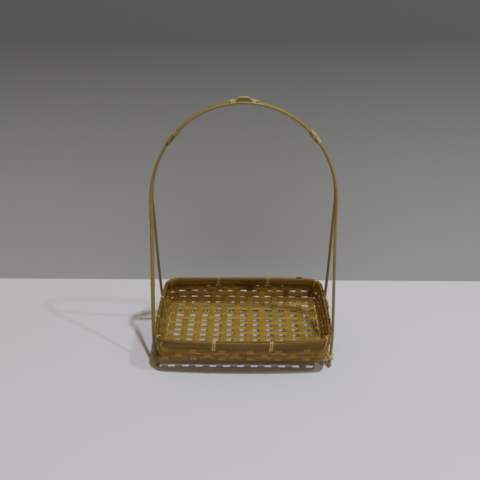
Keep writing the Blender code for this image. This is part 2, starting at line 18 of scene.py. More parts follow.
import bpy
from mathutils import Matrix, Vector

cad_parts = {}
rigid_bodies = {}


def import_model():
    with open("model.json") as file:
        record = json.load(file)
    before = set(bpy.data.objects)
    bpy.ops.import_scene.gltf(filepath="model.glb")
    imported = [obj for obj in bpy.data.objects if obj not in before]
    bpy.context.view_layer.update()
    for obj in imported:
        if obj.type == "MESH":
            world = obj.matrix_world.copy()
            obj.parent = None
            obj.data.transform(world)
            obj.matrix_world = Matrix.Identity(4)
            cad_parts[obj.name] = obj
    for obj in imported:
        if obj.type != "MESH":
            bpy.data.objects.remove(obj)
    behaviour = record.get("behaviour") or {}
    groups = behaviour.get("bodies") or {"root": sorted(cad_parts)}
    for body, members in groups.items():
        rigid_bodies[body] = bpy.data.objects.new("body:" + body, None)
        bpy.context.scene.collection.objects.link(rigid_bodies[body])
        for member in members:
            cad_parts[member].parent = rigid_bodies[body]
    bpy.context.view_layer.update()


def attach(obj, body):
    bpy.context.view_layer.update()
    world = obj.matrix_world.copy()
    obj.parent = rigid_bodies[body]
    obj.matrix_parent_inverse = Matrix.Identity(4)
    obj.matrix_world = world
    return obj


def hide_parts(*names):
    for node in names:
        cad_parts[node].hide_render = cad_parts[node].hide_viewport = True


for leftover in list(bpy.data.objects):
    bpy.data.objects.remove(leftover)
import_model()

LOG = logging.getLogger("basket")
BODY = "root"
UP = Vector((0, 0, 1))
LEVEL_BACK = Vector((0, 1, 0))
SHARP_ANGLE = pi / 3
FAR_FROM_RINGS = 1.0
GRAIN_REACH = 9

Span = tuple[float, float]
Triple = tuple[float, float, float]
Colour = tuple[float, float, float]


def clamp_share(value: float) -> float:
    """The value, or 0 or 1 if it lies beyond them."""
    return min(max(value, 0), 1)


def ease(share: float) -> float:
    """A share that starts and stops gently between 0 and 1."""
    return share * share * (3 - 2 * share)


class Slot(Enum):
    """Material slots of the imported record."""

    STAKE = "stake_bamboo"
    WEAVER = "weaver_bamboo"
    RIM = "rim_bamboo"
    ROD = "rod_bamboo"
    RATTAN = "rattan"


class Side(Enum):
    """The tray's four sides, in the order in which a band passes them."""

    FRONT = 0
    RIGHT = 1
    BACK = 2
    LEFT = 3

    @cached_property
    def outward(self) -> Vector:
        """Level direction out of the tray."""
        headings = ((0, -1, 0), (1, 0, 0), (0, 1, 0), (-1, 0, 0))
        return Vector(headings[self.value])

    @property
    def along(self) -> Vector:
        """Level direction in which a band passes this side, out through the next one."""
        return Side((self.value + 1) % len(Side)).outward

    @property
    def is_long(self) -> bool:
        """Whether this is one of the two long sides."""
        return self in (Side.FRONT, Side.BACK)


# Geometry that the sub-assemblies share


@dataclass(frozen=True)
class Tone:
    """What makes one strip's colour its own, as shares, and where its grain starts, with painted shade
    up the walls and painted light at the right end.
    """

    green_share: float = 0.2
    light_share: float = 0.5
    smoke_share: float = 0.2
    grain_start: float = 0.0
    # Painted shade: wall_drop darkens the strip up the walls, from wall_foot over wall_reach.
    wall_drop: float = 0.0
    wall_foot: float = 0.0205
    wall_reach: float = 0.008
    # Painted light: the strip is made paler at the tray's right end, beyond end_start, as if its inner
    # wall were lit.
    right_end_painted_light: float = 0.0
    end_start: float = 0.104
    end_reach: float = 0.008
    front_lift: float = 0.0
    front_start: float = 0.0695
    front_reach: float = 0.002

    def light_at(self, point: Vector) -> float:
        """Light share at a place: lower up the walls as painted shade, higher on the right end as
        painted light, and higher on the front.

        Args:
            point: A place on the strip.

        Returns:
            The share, which may pass 0 or 1 a little.
        """
        rise_share = clamp_share((point.z - self.wall_foot) / self.wall_reach)
        end_share = clamp_share((point.x - self.end_start) / self.end_reach)
        front_share = clamp_share((-point.y - self.front_start) / self.front_reach)
        return (self.light_share - self.wall_drop * rise_share + self.right_end_painted_light * end_share
                + self.front_lift * front_share)


@dataclass(frozen=True)
class DarkPatch:
    """A darker patch that the bamboo round a place shares."""

    middle: Vector
    reach: float
    strength: float = 1.0

    def share(self, point: Vector) -> float:
        """How strongly it darkens a point."""
        return self.strength * exp(-((point - self.middle).length / self.reach) ** 2)


# Darker patches on the back wall's bands, each darkening the bamboo round its middle.
BACK_WALL_DARK_PATCHES = (
    DarkPatch(middle=Vector((0.006, 0.079, 0.046)), reach=0.011, strength=0.75),
    DarkPatch(middle=Vector((0.014, 0.077, 0.037)), reach=0.012, strength=0.65),
    DarkPatch(middle=Vector((0.060, 0.075, 0.032)), reach=0.014, strength=0.70),
    DarkPatch(middle=Vector((0.083, 0.075, 0.030)), reach=0.013, strength=0.65),
    DarkPatch(middle=Vector((0.104, 0.076, 0.036)), reach=0.013, strength=0.50),
    DarkPatch(middle=Vector((-0.104, 0.078, 0.040)), reach=0.014, strength=0.35),
)
LASHING_DARK_PATCHES = (
    DarkPatch(middle=Vector((-0.0872, -0.0050, 0.3108)), reach=0.0030),
    DarkPatch(middle=Vector((-0.0948, -0.0050, 0.3018)), reach=0.0026),
    DarkPatch(middle=Vector((0.0822, -0.0050, 0.3160)), reach=0.0030),
    DarkPatch(middle=Vector((0.0880, -0.0050, 0.3075)), reach=0.0034),
)
DARK_PATCHES = BACK_WALL_DARK_PATCHES + LASHING_DARK_PATCHES


@dataclass(frozen=True)
class Section:
    """Outline across a piece: each point's place across and through, and how worn and pithy it is."""

    points: tuple[tuple[float, float, float, float], ...]

    strip_worn_shares = (0.55, 0.5)
    strip_pith_shares = (0.4, 0.8)
    strand_width_shares = (0.8, 0.35, 0.7)
    strand_thickness_shares = (1 / 3, 0.5)
    strand_worn_shares = (0.6, 0.1, 0.5)
    strand_pith_share = 0.5

    @classmethod
    def of_strip(cls, width: float, thickness: float, corner: float, crown: float) -> "Section":
        """A split strip with rounded corners.

        Args:
            width: Full width.
            thickness: Full thickness at the edges.
            corner: Radius of the corners.
            crown: How far the skin side swells in the middle.

        Returns:
            The outline, skin side first.
        """
        wide, thick = width / 2, thickness / 2
        inner, third, low = wide - corner, wide / 3, thick - corner
        skin_worn, back_worn = cls.strip_worn_shares
        upper_pith, lower_pith = cls.strip_pith_shares
        return cls((
            (-inner, thick, skin_worn, 0), (-third, thick + crown, 0, 0),
            (third, thick + crown, 0, 0), (inner, thick, skin_worn, 0),
            (wide, low, 1, upper_pith), (wide, -low, 1, lower_pith),
            (inner, -thick, back_worn, 1), (third, -thick, 0, 1),
            (-third, -thick, 0, 1), (-inner, -thick, back_worn, 1),
            (-wide, -low, 1, lower_pith), (-wide, low, 1, upper_pith),
        ))

    @classmethod
    def of_rod(cls, half_across: float, half_through: float, count: int) -> "Section":
        """A round or oval rod with skin all round, in so many points."""
        turns = [2 * pi * step / count for step in range(count)]
        return cls(tuple((half_across * cos(turn), half_through * sin(turn), 0, 0) for turn in turns))

    @classmethod
    def of_strand(cls, width: float, thickness: float) -> "Section":
        """A flat rattan strand: a flat back and a domed face.

        Args:
            width: Full width.
            thickness: Full thickness.

        Returns:
            The outline.
        """
        wide, thick = width / 2, thickness / 2
        shoulder, top, back = (wide * share for share in cls.strand_width_shares)
        low, middle = (thick * share for share in cls.strand_thickness_shares)
        shoulder_worn, top_worn, back_worn = cls.strand_worn_shares
        pith = cls.strand_pith_share
        return cls((
            (-wide, -low, 1, pith), (-shoulder, middle, shoulder_worn, 0), (-top, thick, top_worn, 0),
            (top, thick, top_worn, 0), (shoulder, middle, shoulder_worn, 0), (wide, -low, 1, pith),
            (back, -thick, back_worn, 1), (-back, -thick, back_worn, 1),
        ))


@dataclass(frozen=True)
class Wave:
    """A smooth way in and out through crossings, each (distance, proud)."""

    crossings: tuple[Span, ...]

    @cached_property
    def distances(self) -> list[float]:
        """Where the crossings are."""
        return [distance for distance, _ in self.crossings]

    def at(self, distance: float) -> float:
        """How proud the strip is, eased from one crossing to the next.

        Args:
            distance: Distance along the strip.

        Returns:
            How far it stands proud there.
        """
        index = bisect_right(self.distances, distance)
        if index == 0 or index == len(self.crossings):
            return self.crossings[min(index, len(self.crossings) - 1)][1]
        (start, low), (end, high) = self.crossings[index - 1:index + 1]
        return low + (high - low) * ease((distance - start) / (end - start))


@dataclass(frozen=True)
class Wander:
    """A slow, seeded drift along a hand-made piece."""

    seed: int
    amount: float
    wavelength: float = 0.11
    long_share: float = 0.65
    short_ratio: float = 2.3

    @cached_property
    def phases(self) -> Span:
        """Starting angles of the two waves that make the drift."""
        chance = Random(self.seed)
        return chance.uniform(0, 2 * pi), chance.uniform(0, 2 * pi)

    def at(self, distance: float) -> float:
        """The drift at a place.

        Args:
            distance: Distance along the piece.

        Returns:
            How far it has drifted there.
        """
        turn = 2 * pi * distance / self.wavelength
        first, second = self.phases
        return self.amount * (self.long_share * sin(turn + first)
                              + (1 - self.long_share) * sin(self.short_ratio * turn + second))


@dataclass(frozen=True)
class CulmJoints:
    """Places of the rings that mark where a bamboo culm's segments met."""

    seed: int
    spacing: float = 0.21
    least_share: float = 0.15

    @cached_property
    def start(self) -> float:
        """Distance of the first ring."""
        return Random(self.seed).uniform(self.least_share, 1) * self.spacing

    def gap(self, distance: float) -> float:
        """Signed distance from the nearest ring."""
        past = (distance - self.start) % self.spacing
        return past if past < self.spacing / 2 else past - self.spacing


def put_up(name: str, data: bpy.types.ID) -> bpy.types.Object:
    """Add an object to the scene.

    Args:
        name: Its name.
        data: The mesh, lamp or camera that it shows.

    Returns:
        The object.
    """
    made = bpy.data.objects.new(name, data)
    bpy.context.scene.collection.objects.link(made)
    return made


def steps_between(start: float, end: float, step: float) -> list[float]:
    """Evenly spread distances with both ends, at most a step apart."""
    count = max(int((end - start) / step + 1), 1)
    return [start + (end - start) * index / count for index in range(count + 1)]


class Place(Protocol):
    """Bends a straight piece into its shape."""

    def __call__(self, distance: float, across: float, through: float) -> Vector:
        """Say where a point of the straight piece goes.

        Args:
            distance: Its distance along the piece.
            across: Its place across.
            through: Its place through.

        Returns:
            Its place in the object.
        """


def sweep(
    name: str,
    distances: Sequence[float],
    section_at: Callable[[float], Section],
    place: Place,
    tone: Tone,
    joints: CulmJoints | None = None,
) -> bpy.types.Object:
    """Skin a row of sections and keep each point's place in the straightened piece for its grain.

    Args:
        name: Name of the piece.
        distances: Where its rings are along it.
        section_at: Its outline at a distance.
        place: What bends it.
        tone: The piece's own colour.
        joints: Its culm rings, if it has any.

    Returns:
        The object, not yet dressed.
    """
    points, straight, face, gaps, tones = [], [], [], [], []

    def put(distance: float, across: float, through: float, marks: Triple) -> None:
        """Add one point with what its material reads.

        Args:
            distance: Its distance along the piece.
            across: Its place across.
            through: Its place through.
            marks: How worn it is, how much pith it shows and whether it is on a cut end.
        """
        point = place(distance, across, through)
        points.append(point)
        # The smoke share also takes in the darker patches near the point.
        smoke_share = tone.smoke_share + sum(dark_patch.share(point) for dark_patch in DARK_PATCHES)
        # The tone attribute holds the light share, with its painted shade up the walls and painted
        # light at the right end.
        tones.extend((tone.green_share, tone.light_at(point), smoke_share))
        straight.extend((distance + tone.grain_start, across, through))
        face.extend(marks)
        gaps.append(joints.gap(distance) if joints else FAR_FROM_RINGS)

    for distance in distances:
        for across, through, edge, pith in section_at(distance).points:
            put(distance, across, through, (edge, pith, 0))
    count = len(section_at(distances[0]).points)
    faces = [
        (ring * count + spot, ring * count + (spot + 1) % count,
         (ring + 1) * count + (spot + 1) % count, (ring + 1) * count + spot)
        for ring in range(len(distances) - 1) for spot in range(count)
    ]
    for distance, turned in ((distances[0], False), (distances[-1], True)):
        first = len(points)
        for across, through, _, _ in section_at(distance).points:
            put(distance, across, through, (0, 0, 1))
        ring = tuple(range(first, first + count))
        faces.append(ring[::-1] if turned else ring)
    mesh = bpy.data.meshes.new(name)
    mesh.from_pydata(points, [], faces)
    for key, values in (("straight", straight), ("face", face), ("tone", tones)):
        mesh.attributes.new(key, "FLOAT_VECTOR", "POINT").data.foreach_set("vector", values)
    mesh.attributes.new("joint_gap", "FLOAT", "POINT").data.foreach_set("value", gaps)
    mesh.shade_smooth()
    mesh.set_sharp_from_angle(angle=SHARP_ANGLE)
    return put_up(name, mesh)


@dataclass(frozen=True)
class TautLoop:
    """A strand drawn taut round discs in a plane, each (across, up, radius)."""

    discs: tuple[Triple, ...]
    stand_off: float
    directions: int = 180

    @cached_property
    def outline(self) -> list[tuple[float, float, float, float]]:
        """Places on the loop with their outward directions, once round."""
        outline = []
        for step in range(self.directions + 1):
            turn = 2 * pi * step / self.directions
            out_across, out_up = cos(turn), sin(turn)
            across, up, radius = max(
                self.discs, key=lambda disc: disc[0] * out_across + disc[1] * out_up + disc[2])
            reach = radius + self.stand_off
            outline.append((across + reach * out_across, up + reach * out_up, out_across, out_up))
        return outline

    @cached_property
    def lengths(self) -> list[float]:
        """Distance round the loop to each place of its outline."""
        lengths = [0.0]
        for start, end in zip(self.outline, self.outline[1:]):
            lengths.append(lengths[-1] + hypot(end[0] - start[0], end[1] - start[1]))
        return lengths

    @property
    def length(self) -> float:
        """Distance once round."""
        return self.lengths[-1]

    def at(self, distance: float) -> tuple[float, float, float, float]:
        """A place on the loop.

        Args:
            distance: Distance round it, over as many turns as wanted.

        Returns:
            Its place across and up, and the outward direction there, across and up.
        """
        wrapped = distance % self.length
        index = min(bisect_right(self.lengths, wrapped), len(self.lengths) - 1)
        start, end = self.lengths[index - 1], self.lengths[index]
        share = (wrapped - start) / (end - start) if end > start else 0
        first, second = self.outline[index - 1], self.outline[index]
        return tuple(low + (high - low) * share for low, high in zip(first, second))


@dataclass(frozen=True)
class Sheet:
    """The tray as one bent sheet: along a side, run up from the floor's edge, proud outwards."""

    half_x: float = 0.1097
    half_y: float = 0.06975
    floor_height: float = 0.0205
    fold_radius: float = 0.0030
    wall_lean: float = 0.300
    wall_rise: float = 0.0270
    rim_height: float = 0.0125
    floor_corner: float = 0.0006
    rim_corner: float = 0.0175
    front_bow: float = 0.0040
    back_bow: float = 0.0020
    end_bow: float = 0.0025
    front_sag: float = 0.0030

    @cached_property
    def fold_angle(self) -> float:
        """Steepness at the top of the fold."""
        return pi / 2 - self.wall_lean

    @cached_property
    def fold_run(self) -> float:
        """Run up to the top of the fold."""
        return self.fold_radius * self.fold_angle

    @cached_property
    def bowl_radius(self) -> float:
        """Radius in which the wall straightens up."""
        folded = self.fold_radius * (1 - cos(self.fold_angle))
        return (self.wall_rise - folded) / cos(self.fold_angle)

    @cached_property
    def wall_run(self) -> float:
        """Run up to the lower edge of the rim."""
        return self.fold_run + self.bowl_radius * self.wall_lean

    @cached_property
    def rim_run(self) -> float:
        """Run up to the top of the rim."""
        return self.wall_run + self.rim_height

    @cached_property
    def flare(self) -> float:
        """How far the rim stands outside the floor's edge."""
        return self.profile(self.wall_run)[0]

    def profile(self, run: float) -> Triple:
        """The sheet's outline from the floor to the rim.

        Args:
            run: Distance up from the floor's edge.

        Returns:
            How far it has gone outwards and upwards, and how steep it is.
        """
        if run <= 0:
            return run, 0, 0
        if run < self.fold_run:
            angle = run / self.fold_radius
            return self.fold_radius * sin(angle), self.fold_radius * (1 - cos(angle)), angle
        angle = min(self.fold_angle + (run - self.fold_run) / self.bowl_radius, pi / 2)
        offset = (self.fold_radius * sin(self.fold_angle)
                  + self.bowl_radius * (sin(angle) - sin(self.fold_angle)))
        height = (self.fold_radius * (1 - cos(self.fold_angle))
                  + self.bowl_radius * (cos(self.fold_angle) - cos(angle)))
        return offset, height + max(run - self.wall_run, 0), angle

    def sizes(self, side: Side, offset: float) -> Triple:
        """Sizes of a side where the sheet has gone outwards by an offset.

        Args:
            side: The side.
            offset: How far the sheet has gone outwards there.

        Returns:
            The side's half length, its distance from the middle and its corner's radius.
        """
        half_x, half_y = self.half_x + offset, self.half_y + offset
        growth_share = min(offset / self.flare, 1) if offset > 0 else 0
        corner = self.floor_corner + (self.rim_corner - self.floor_corner) * growth_share
        return (half_x, half_y, corner) if side.is_long else (half_y, half_x, corner)

    def reach(self, side: Side, run: float) -> float:
        """Distance along a side from its middle to the middle of its corner."""
        half_length, _, corner = self.sizes(side, self.profile(run)[0])
        return half_length - corner + corner * pi / 4

    def point(self, side: Side, along: float, run: float, proud: float) -> Vector:
        """A place on the sheet.

        Args:
            side: Side that it is counted from.
            along: Distance from the side's middle.
            run: Distance up from the floor's edge, negative on the floor.
            proud: Distance outwards from the sheet, downwards on the floor.

        Returns:
            The place in the object.
        """
        offset, height, steepness = self.profile(run)
        half_length, distance, corner = self.sizes(side, offset)
        if run <= 0:
            return side.along * along + side.outward * distance + UP * (self.floor_height - proud)
        turn = max(abs(along) - (half_length - corner), 0) / corner
        sense = -1 if along < 0 else 1
        straight = sense * min(abs(along), half_length - corner)
        bow = (self.front_bow, self.end_bow, self.back_bow, self.end_bow)[side.value]
        sag = self.front_sag if side is Side.FRONT else 0
        bow_share = max(1 - (along / self.reach(side, run)) ** 2, 0) * min(height / self.wall_rise, 1)
        facing = side.outward * cos(turn) + side.along * (sense * sin(turn))
        plan = side.along * straight + side.outward * (distance - corner)
        plan += facing * (corner + bow * bow_share + proud * sin(steepness))
        return plan + UP * (self.floor_height + height - sag * bow_share - proud * cos(steepness))


@dataclass(frozen=True)
class Weave:
    """Counts and sizes of the woven strips, which all the tray's pieces share."""

    stake_count: int = 12
    stake_pitch: float = 0.0190
    stake_width: float = 0.0095
    stake_thickness: float = 0.0007
    stake_wave: float = 0.00028
    weaver_count: int = 12
    weaver_pitch: float = 0.0120
    weaver_width: float = 0.0073
    weaver_thickness: float = 0.00055
    weaver_sway: float = 0.0022
    front_shift: float = 0.0015
    band_count: int = 3
    band_width: float = 0.0086
    band_gap: float = 0.0008
    band_thickness: float = 0.00055
    rim_thickness: float = 0.0014
    end_drop: float = 0.0010
    floor_wave: float = 0.00042
    # Painted light at the tray's right end, for the weavers, wall bands and inner rim band.
    right_end_painted_light: float = 0.6
    band_wave: float = 0.00060
    rim_clearance: float = 0.00040

    @property
    def rim_offset(self) -> float:
        """Distance of a rim band's middle from the sheet."""
        return (self.stake_thickness + self.rim_thickness) / 2 + self.rim_clearance

    @property
    def rim_face(self) -> float:
        """Distance of a rim band's free face from the sheet."""
        return self.rim_offset + self.rim_thickness / 2

    def stake_place(self, index: int) -> float:
        """Distance of a stake from the middle, along X."""
        return (index - (self.stake_count - 1) / 2) * self.stake_pitch

    def weaver_place(self, index: int) -> float:
        """Distance of a weaver from the middle, along Y.

        Args:
            index: Which weaver, from the front.

        Returns:
            Its place; all but the last lie a little to the front of an even spread.
        """
        share = index / (self.weaver_count - 1)
        sway = self.weaver_sway * sin(pi * share) + self.front_shift * (1 - share)
        return (index - (self.weaver_count - 1) / 2) * self.weaver_pitch - sway

    def weaver_gap_place(self, index: int) -> float:
        """Distance of the gap behind a weaver from the middle, along Y."""
        return (self.weaver_place(index) + self.weaver_place(index + 1)) / 2

    def band_run(self, sheet: Sheet, index: int) -> float:
        """Run up the wall to the middle line of a wall band."""
        top = sheet.wall_run - self.band_gap - self.band_width / 2
        return top - (self.band_count - 1 - index) * (self.band_width + self.band_gap)

    def stake_inside(self, stake: int, weaver: int) -> bool:
        """Whether a stake passes over, or inside, a weaver; wall bands count on past the weavers."""
        return (stake + weaver) % 2 == 0

    def uprights(self, side: Side) -> list[tuple[float, float, int]]:
        """The strips that rise through a side.

        Args:
            side: The side.

        Returns:
            Each strip's place along the side, half width and index.
        """
        if side.is_long:
            row = [(self.stake_place(stake), self.stake_width / 2, stake)
                   for stake in range(self.stake_count)]
        else:
            row = [(self.weaver_place(weaver), self.weaver_width / 2, weaver)
                   for weaver in range(self.weaver_count)]
        if side in (Side.FRONT, Side.RIGHT):
            return row
        return [(-along, half_width, index) for along, half_width, index in reversed(row)]

    def upright_inside(self, side: Side, index: int, band: int) -> bool:
        """Whether an upright passes inside a wall band.

        Args:
            side: The side that it rises through.
            index: Its index as a stake or weaver.
            band: Which wall band, from below.

        Returns:
            True inside, False outside.
        """
        if side is Side.FRONT:
            return self.stake_inside(index, -1 - band)
        if side is Side.BACK:
            return self.stake_inside(index, self.weaver_count + band)
        if side is Side.LEFT:
            return not self.stake_inside(-1 - band, index)
        return not self.stake_inside(self.stake_count + band, index)


# Shader node groups


class Wiring:
    """Adds nodes to one tree and joins their sockets."""

    def __init__(self, tree: bpy.types.NodeTree) -> None:
        """Keep the tree."""
        self.tree = tree

    def add(self, kind: str, **settings: object) -> bpy.types.Node:
        """Add a node and set its properties.

        Args:
            kind: Its type.
            settings: Its properties by name.

        Returns:
            The node.
        """
        node = self.tree.nodes.new(kind)
        for key, value in settings.items():
            setattr(node, key, value)
        return node

    def feed(self, socket: bpy.types.NodeSocket, value: object) -> None:
        """Join a socket to another, or set its plain value.

        Args:
            socket: The socket that takes the value.
            value: A socket, a number or a colour.
        """
        if isinstance(value, bpy.types.NodeSocket):
            self.tree.links.new(value, socket)
        elif isinstance(value, tuple) and len(value) == 3 and socket.type == "RGBA":
            socket.default_value = (*value, 1)
        else:
            socket.default_value = value

    def feed_all(self, node: bpy.types.Node, **values: object) -> bpy.types.NodeOutputs:
        """Feed a node's inputs by their names.

        Args:
            node: The node.
            values: Values or sockets, each under its input's name with _ for a space.

        Returns:
            Its outputs.
        """
        for key, value in values.items():
            self.feed(node.inputs[key.replace("_", " ").title()], value)
        return node.outputs

    def feed_row(self, node: bpy.types.Node, *values: object) -> bpy.types.NodeSocket:
        """Feed a node's inputs in their order.

        Args:
            node: The node.
            values: A value or socket for each of its first inputs.

        Returns:
            Its first output.
        """
        for socket, value in zip(node.inputs, values):
            self.feed(socket, value)
        return node.outputs[0]

    def math(self, operation: str, *values: object, clamp: bool = False) -> bpy.types.NodeSocket:
        """A sum on numbers, kept between 0 and 1 if it is clamped."""
        return self.feed_row(self.add("ShaderNodeMath", operation=operation, use_clamp=clamp), *values)

    def product(self, first: object, *others: object) -> bpy.types.NodeSocket:
        """Numbers multiplied together."""
        return reduce(lambda result, value: self.math("MULTIPLY", result, value), others, first)

    def split(self, vector: object) -> bpy.types.NodeOutputs:
        """The three parts of a vector, under X, Y and Z."""
        return self.feed_all(self.add("ShaderNodeSeparateXYZ"), vector=vector)

    def scale(self, vector: object, factors: Triple) -> bpy.types.NodeSocket:
        """A vector with each of its parts times its own factor."""
        return self.feed_row(self.add("ShaderNodeVectorMath", operation="MULTIPLY"), vector, factors)

    def noise(self, vector: object, scale: object = 1, detail: float = 2, roughness: float = 0.5
              ) -> bpy.types.NodeSocket:
        """Fractal noise between 0 and 1, read at a vector times its scale."""
        node = self.add("ShaderNodeTexNoise")
        return self.feed_all(node, vector=vector, scale=scale, detail=detail, roughness=roughness)[0]

    def ramp(self, value: object, low: float, high: float, to_low: float = 0, to_high: float = 1
             ) -> bpy.types.NodeSocket:
        """A value eased from one range to another.

        Args:
            value: The value.
            low: Start of its range.
            high: End of its range.
            to_low: What the start becomes.
            to_high: What the end becomes.

        Returns:
            The eased value.
        """
        node = self.add("ShaderNodeMapRange", interpolation_type="SMOOTHSTEP")
        self.feed_all(node, value=value, from_min=low, from_max=high, to_min=to_low, to_max=to_high)
        return node.outputs["Result"]

    def mix(self, share: object, first: object, second: object, blend: str = "MIX"
            ) -> bpy.types.NodeSocket:
        """Two colours mixed.

        Args:
            share: Share of the second colour.
            first: The first colour.
            second: The second colour.
            blend: How they mix.

        Returns:
            The mixed colour.
        """
        node = self.add("ShaderNodeMix", data_type="RGBA", blend_type=blend)
        colours = [socket for socket in node.inputs if socket.type == "RGBA"]
        for socket, value in zip((node.inputs["Factor"], *colours), (share, first, second)):
            self.feed(socket, value)
        return next(socket for socket in node.outputs if socket.type == "RGBA")

    def attribute(self, name: str, output: str = "Vector") -> bpy.types.NodeSocket:
        """What the mesh keeps under a name."""
        return self.add("ShaderNodeAttribute", attribute_name=name).outputs[output]

    def group(self, tree: bpy.types.NodeTree, **values: object) -> bpy.types.NodeOutputs:
        """What a node group makes of the values that it is fed."""
        return self.feed_all(self.add("ShaderNodeGroup", node_tree=tree), **values)


def new_material(name: str) -> tuple[bpy.types.Material, Wiring, bpy.types.Node]:
    """Start a material.

    Args:
        name: Its name.

    Returns:
        The material, its wiring and its shader.
    """
    material = bpy.data.materials.new(name)
    material.use_nodes = True
    return material, Wiring(material.node_tree), material.node_tree.nodes["Principled BSDF"]


class GroupMaker:
    """Builds the node groups that the finishes share, each once.

    A stretch is in waves a metre along, across and through the straightened piece.
    """

    streak_stretch = (9, 420, 420)
    streak_range = (0.3, 0.7)
    streak_share = 0.6
    thread_stretch = (0.03, 1, 1)
    thread_range = (0.32, 0.68)
    ring_wobble = 0.0012
    ring_wobble_scale = 260
    ring_line = (0.0002, 0.0009)
    lip_offset = 0.0016
    lip_fade = (0.0003, 0.0016)
    line_depth_share = 0.6
    wear_stretch = (90, 500, 500)
    wear_range = (0.35, 0.65)
    wear_power = 2
    smoke_stretch = (24, 60, 60)
    smoke_start = 0.78
    smoke_effect_share = 0.5
    smoke_fade = 0.2
    mottle_stretch = (130, 350, 350)

    def __init__(self) -> None:
        """Build them all."""
        self.fibre = self.build_fibre()
        self.culm_ring = self.build_culm_ring()
        self.edge_wear = self.build_edge_wear()
        self.smoke = self.build_smoke()

    def start(self, name: str, inputs: Sequence[tuple[str, str]], outputs: Sequence[str]
              ) -> tuple[Wiring, bpy.types.NodeOutputs, bpy.types.Node]:
        """Begin a group.

        Args:
            name: The group's name.
            inputs: Each input's name and kind of socket.
            outputs: Names of its number outputs.

        Returns:
            The wiring, what the group is given and the node that takes what it makes.
        """
        tree = bpy.data.node_groups.new(name, "ShaderNodeTree")
        for label, kind in inputs:
            tree.interface.new_socket(name=label, in_out="INPUT", socket_type=kind)
        for label in outputs:
            tree.interface.new_socket(name=label, in_out="OUTPUT", socket_type="NodeSocketFloat")
        wiring = Wiring(tree)
        return wiring, wiring.add("NodeGroupInput").outputs, wiring.add("NodeGroupOutput")

    def build_fibre(self) -> bpy.types.NodeTree:
        """Long fibres: broad streaks of colour and fine raised threads."""
        wiring, given, made = self.start(
            "fibre_grain",
            (("Straight", "NodeSocketVector"), ("Fineness", "NodeSocketFloat")),
            ("Streaks", "Threads"),
        )
        wide = wiring.noise(wiring.scale(given["Straight"], self.streak_stretch))
        stretched = wiring.scale(given["Straight"], self.thread_stretch)
        fine = wiring.noise(stretched, scale=given["Fineness"], detail=3, roughness=0.6)
        threads = wiring.ramp(fine, *self.thread_range)
        streaks = wiring.math(
            "ADD", wiring.product(wiring.ramp(wide, *self.streak_range), self.streak_share),
            wiring.product(threads, 1 - self.streak_share))
        wiring.feed_all(made, streaks=streaks, threads=threads)
        return wiring.tree

    def build_culm_ring(self) -> bpy.types.NodeTree:
        """The ring where two segments of a culm met: a dark line beside a raised, paler lip."""
        wiring, given, made = self.start(
            "culm_ring",
            (("Gap", "NodeSocketFloat"), ("Straight", "NodeSocketVector")),
            ("Line", "Lip", "Height"),
        )
        noise = wiring.noise(given["Straight"], scale=self.ring_wobble_scale)
        wobble = wiring.product(wiring.math("SUBTRACT", noise, 1 / 2), self.ring_wobble)
        shifted = wiring.math("ADD", given["Gap"], wobble)
        line = wiring.ramp(wiring.math("ABSOLUTE", shifted), *self.ring_line, 1, 0)
        beside = wiring.math("ABSOLUTE", wiring.math("SUBTRACT", shifted, self.lip_offset))
        lip = wiring.ramp(beside, *self.lip_fade, 1, 0)
        height = wiring.math("SUBTRACT", lip, wiring.product(line, self.line_depth_share))
        wiring.feed_all(made, line=line, lip=lip, height=height)
        return wiring.tree

    def build_edge_wear(self) -> bpy.types.NodeTree:
        """Rubbed edges, broken up along the piece."""
        wiring, given, made = self.start(
            "edge_wear",
            (("Edge", "NodeSocketFloat"), ("Straight", "NodeSocketVector"),
             ("Amount", "NodeSocketFloat")),
            ("Mask",),
        )
        broken = wiring.noise(wiring.scale(given["Straight"], self.wear_stretch), detail=3,
                              roughness=0.6)
        near = wiring.math("POWER", given["Edge"], self.wear_power)
        mask = wiring.product(near, wiring.ramp(broken, *self.wear_range))
        wiring.feed_all(made, mask=wiring.math("MULTIPLY", mask, given["Amount"], clamp=True))
        return wiring.tree

    def build_smoke(self) -> bpy.types.NodeTree:
        """Slow changes along the bamboo, from its age and from smoking over a fire; its Share also
        carries the darker patches.
        """
        wiring, given, made = self.start(
            "smoke",
            (("Straight", "NodeSocketVector"), ("Share", "NodeSocketFloat")),
            ("Mask", "Mottle"),
        )
        slow = wiring.noise(wiring.scale(given["Straight"], self.smoke_stretch), detail=3,
                            roughness=0.55)
        low = wiring.math("SUBTRACT", self.smoke_start,
                          wiring.product(given["Share"], self.smoke_effect_share))
        mask = wiring.ramp(wiring.math("SUBTRACT", slow, low), 0, self.smoke_fade)
        mottle = wiring.noise(wiring.scale(given["Straight"], self.mottle_stretch), detail=4,
                              roughness=0.65)
        wiring.feed_all(made, mask=mask, mottle=mottle)
        return wiring.tree


# Finishes


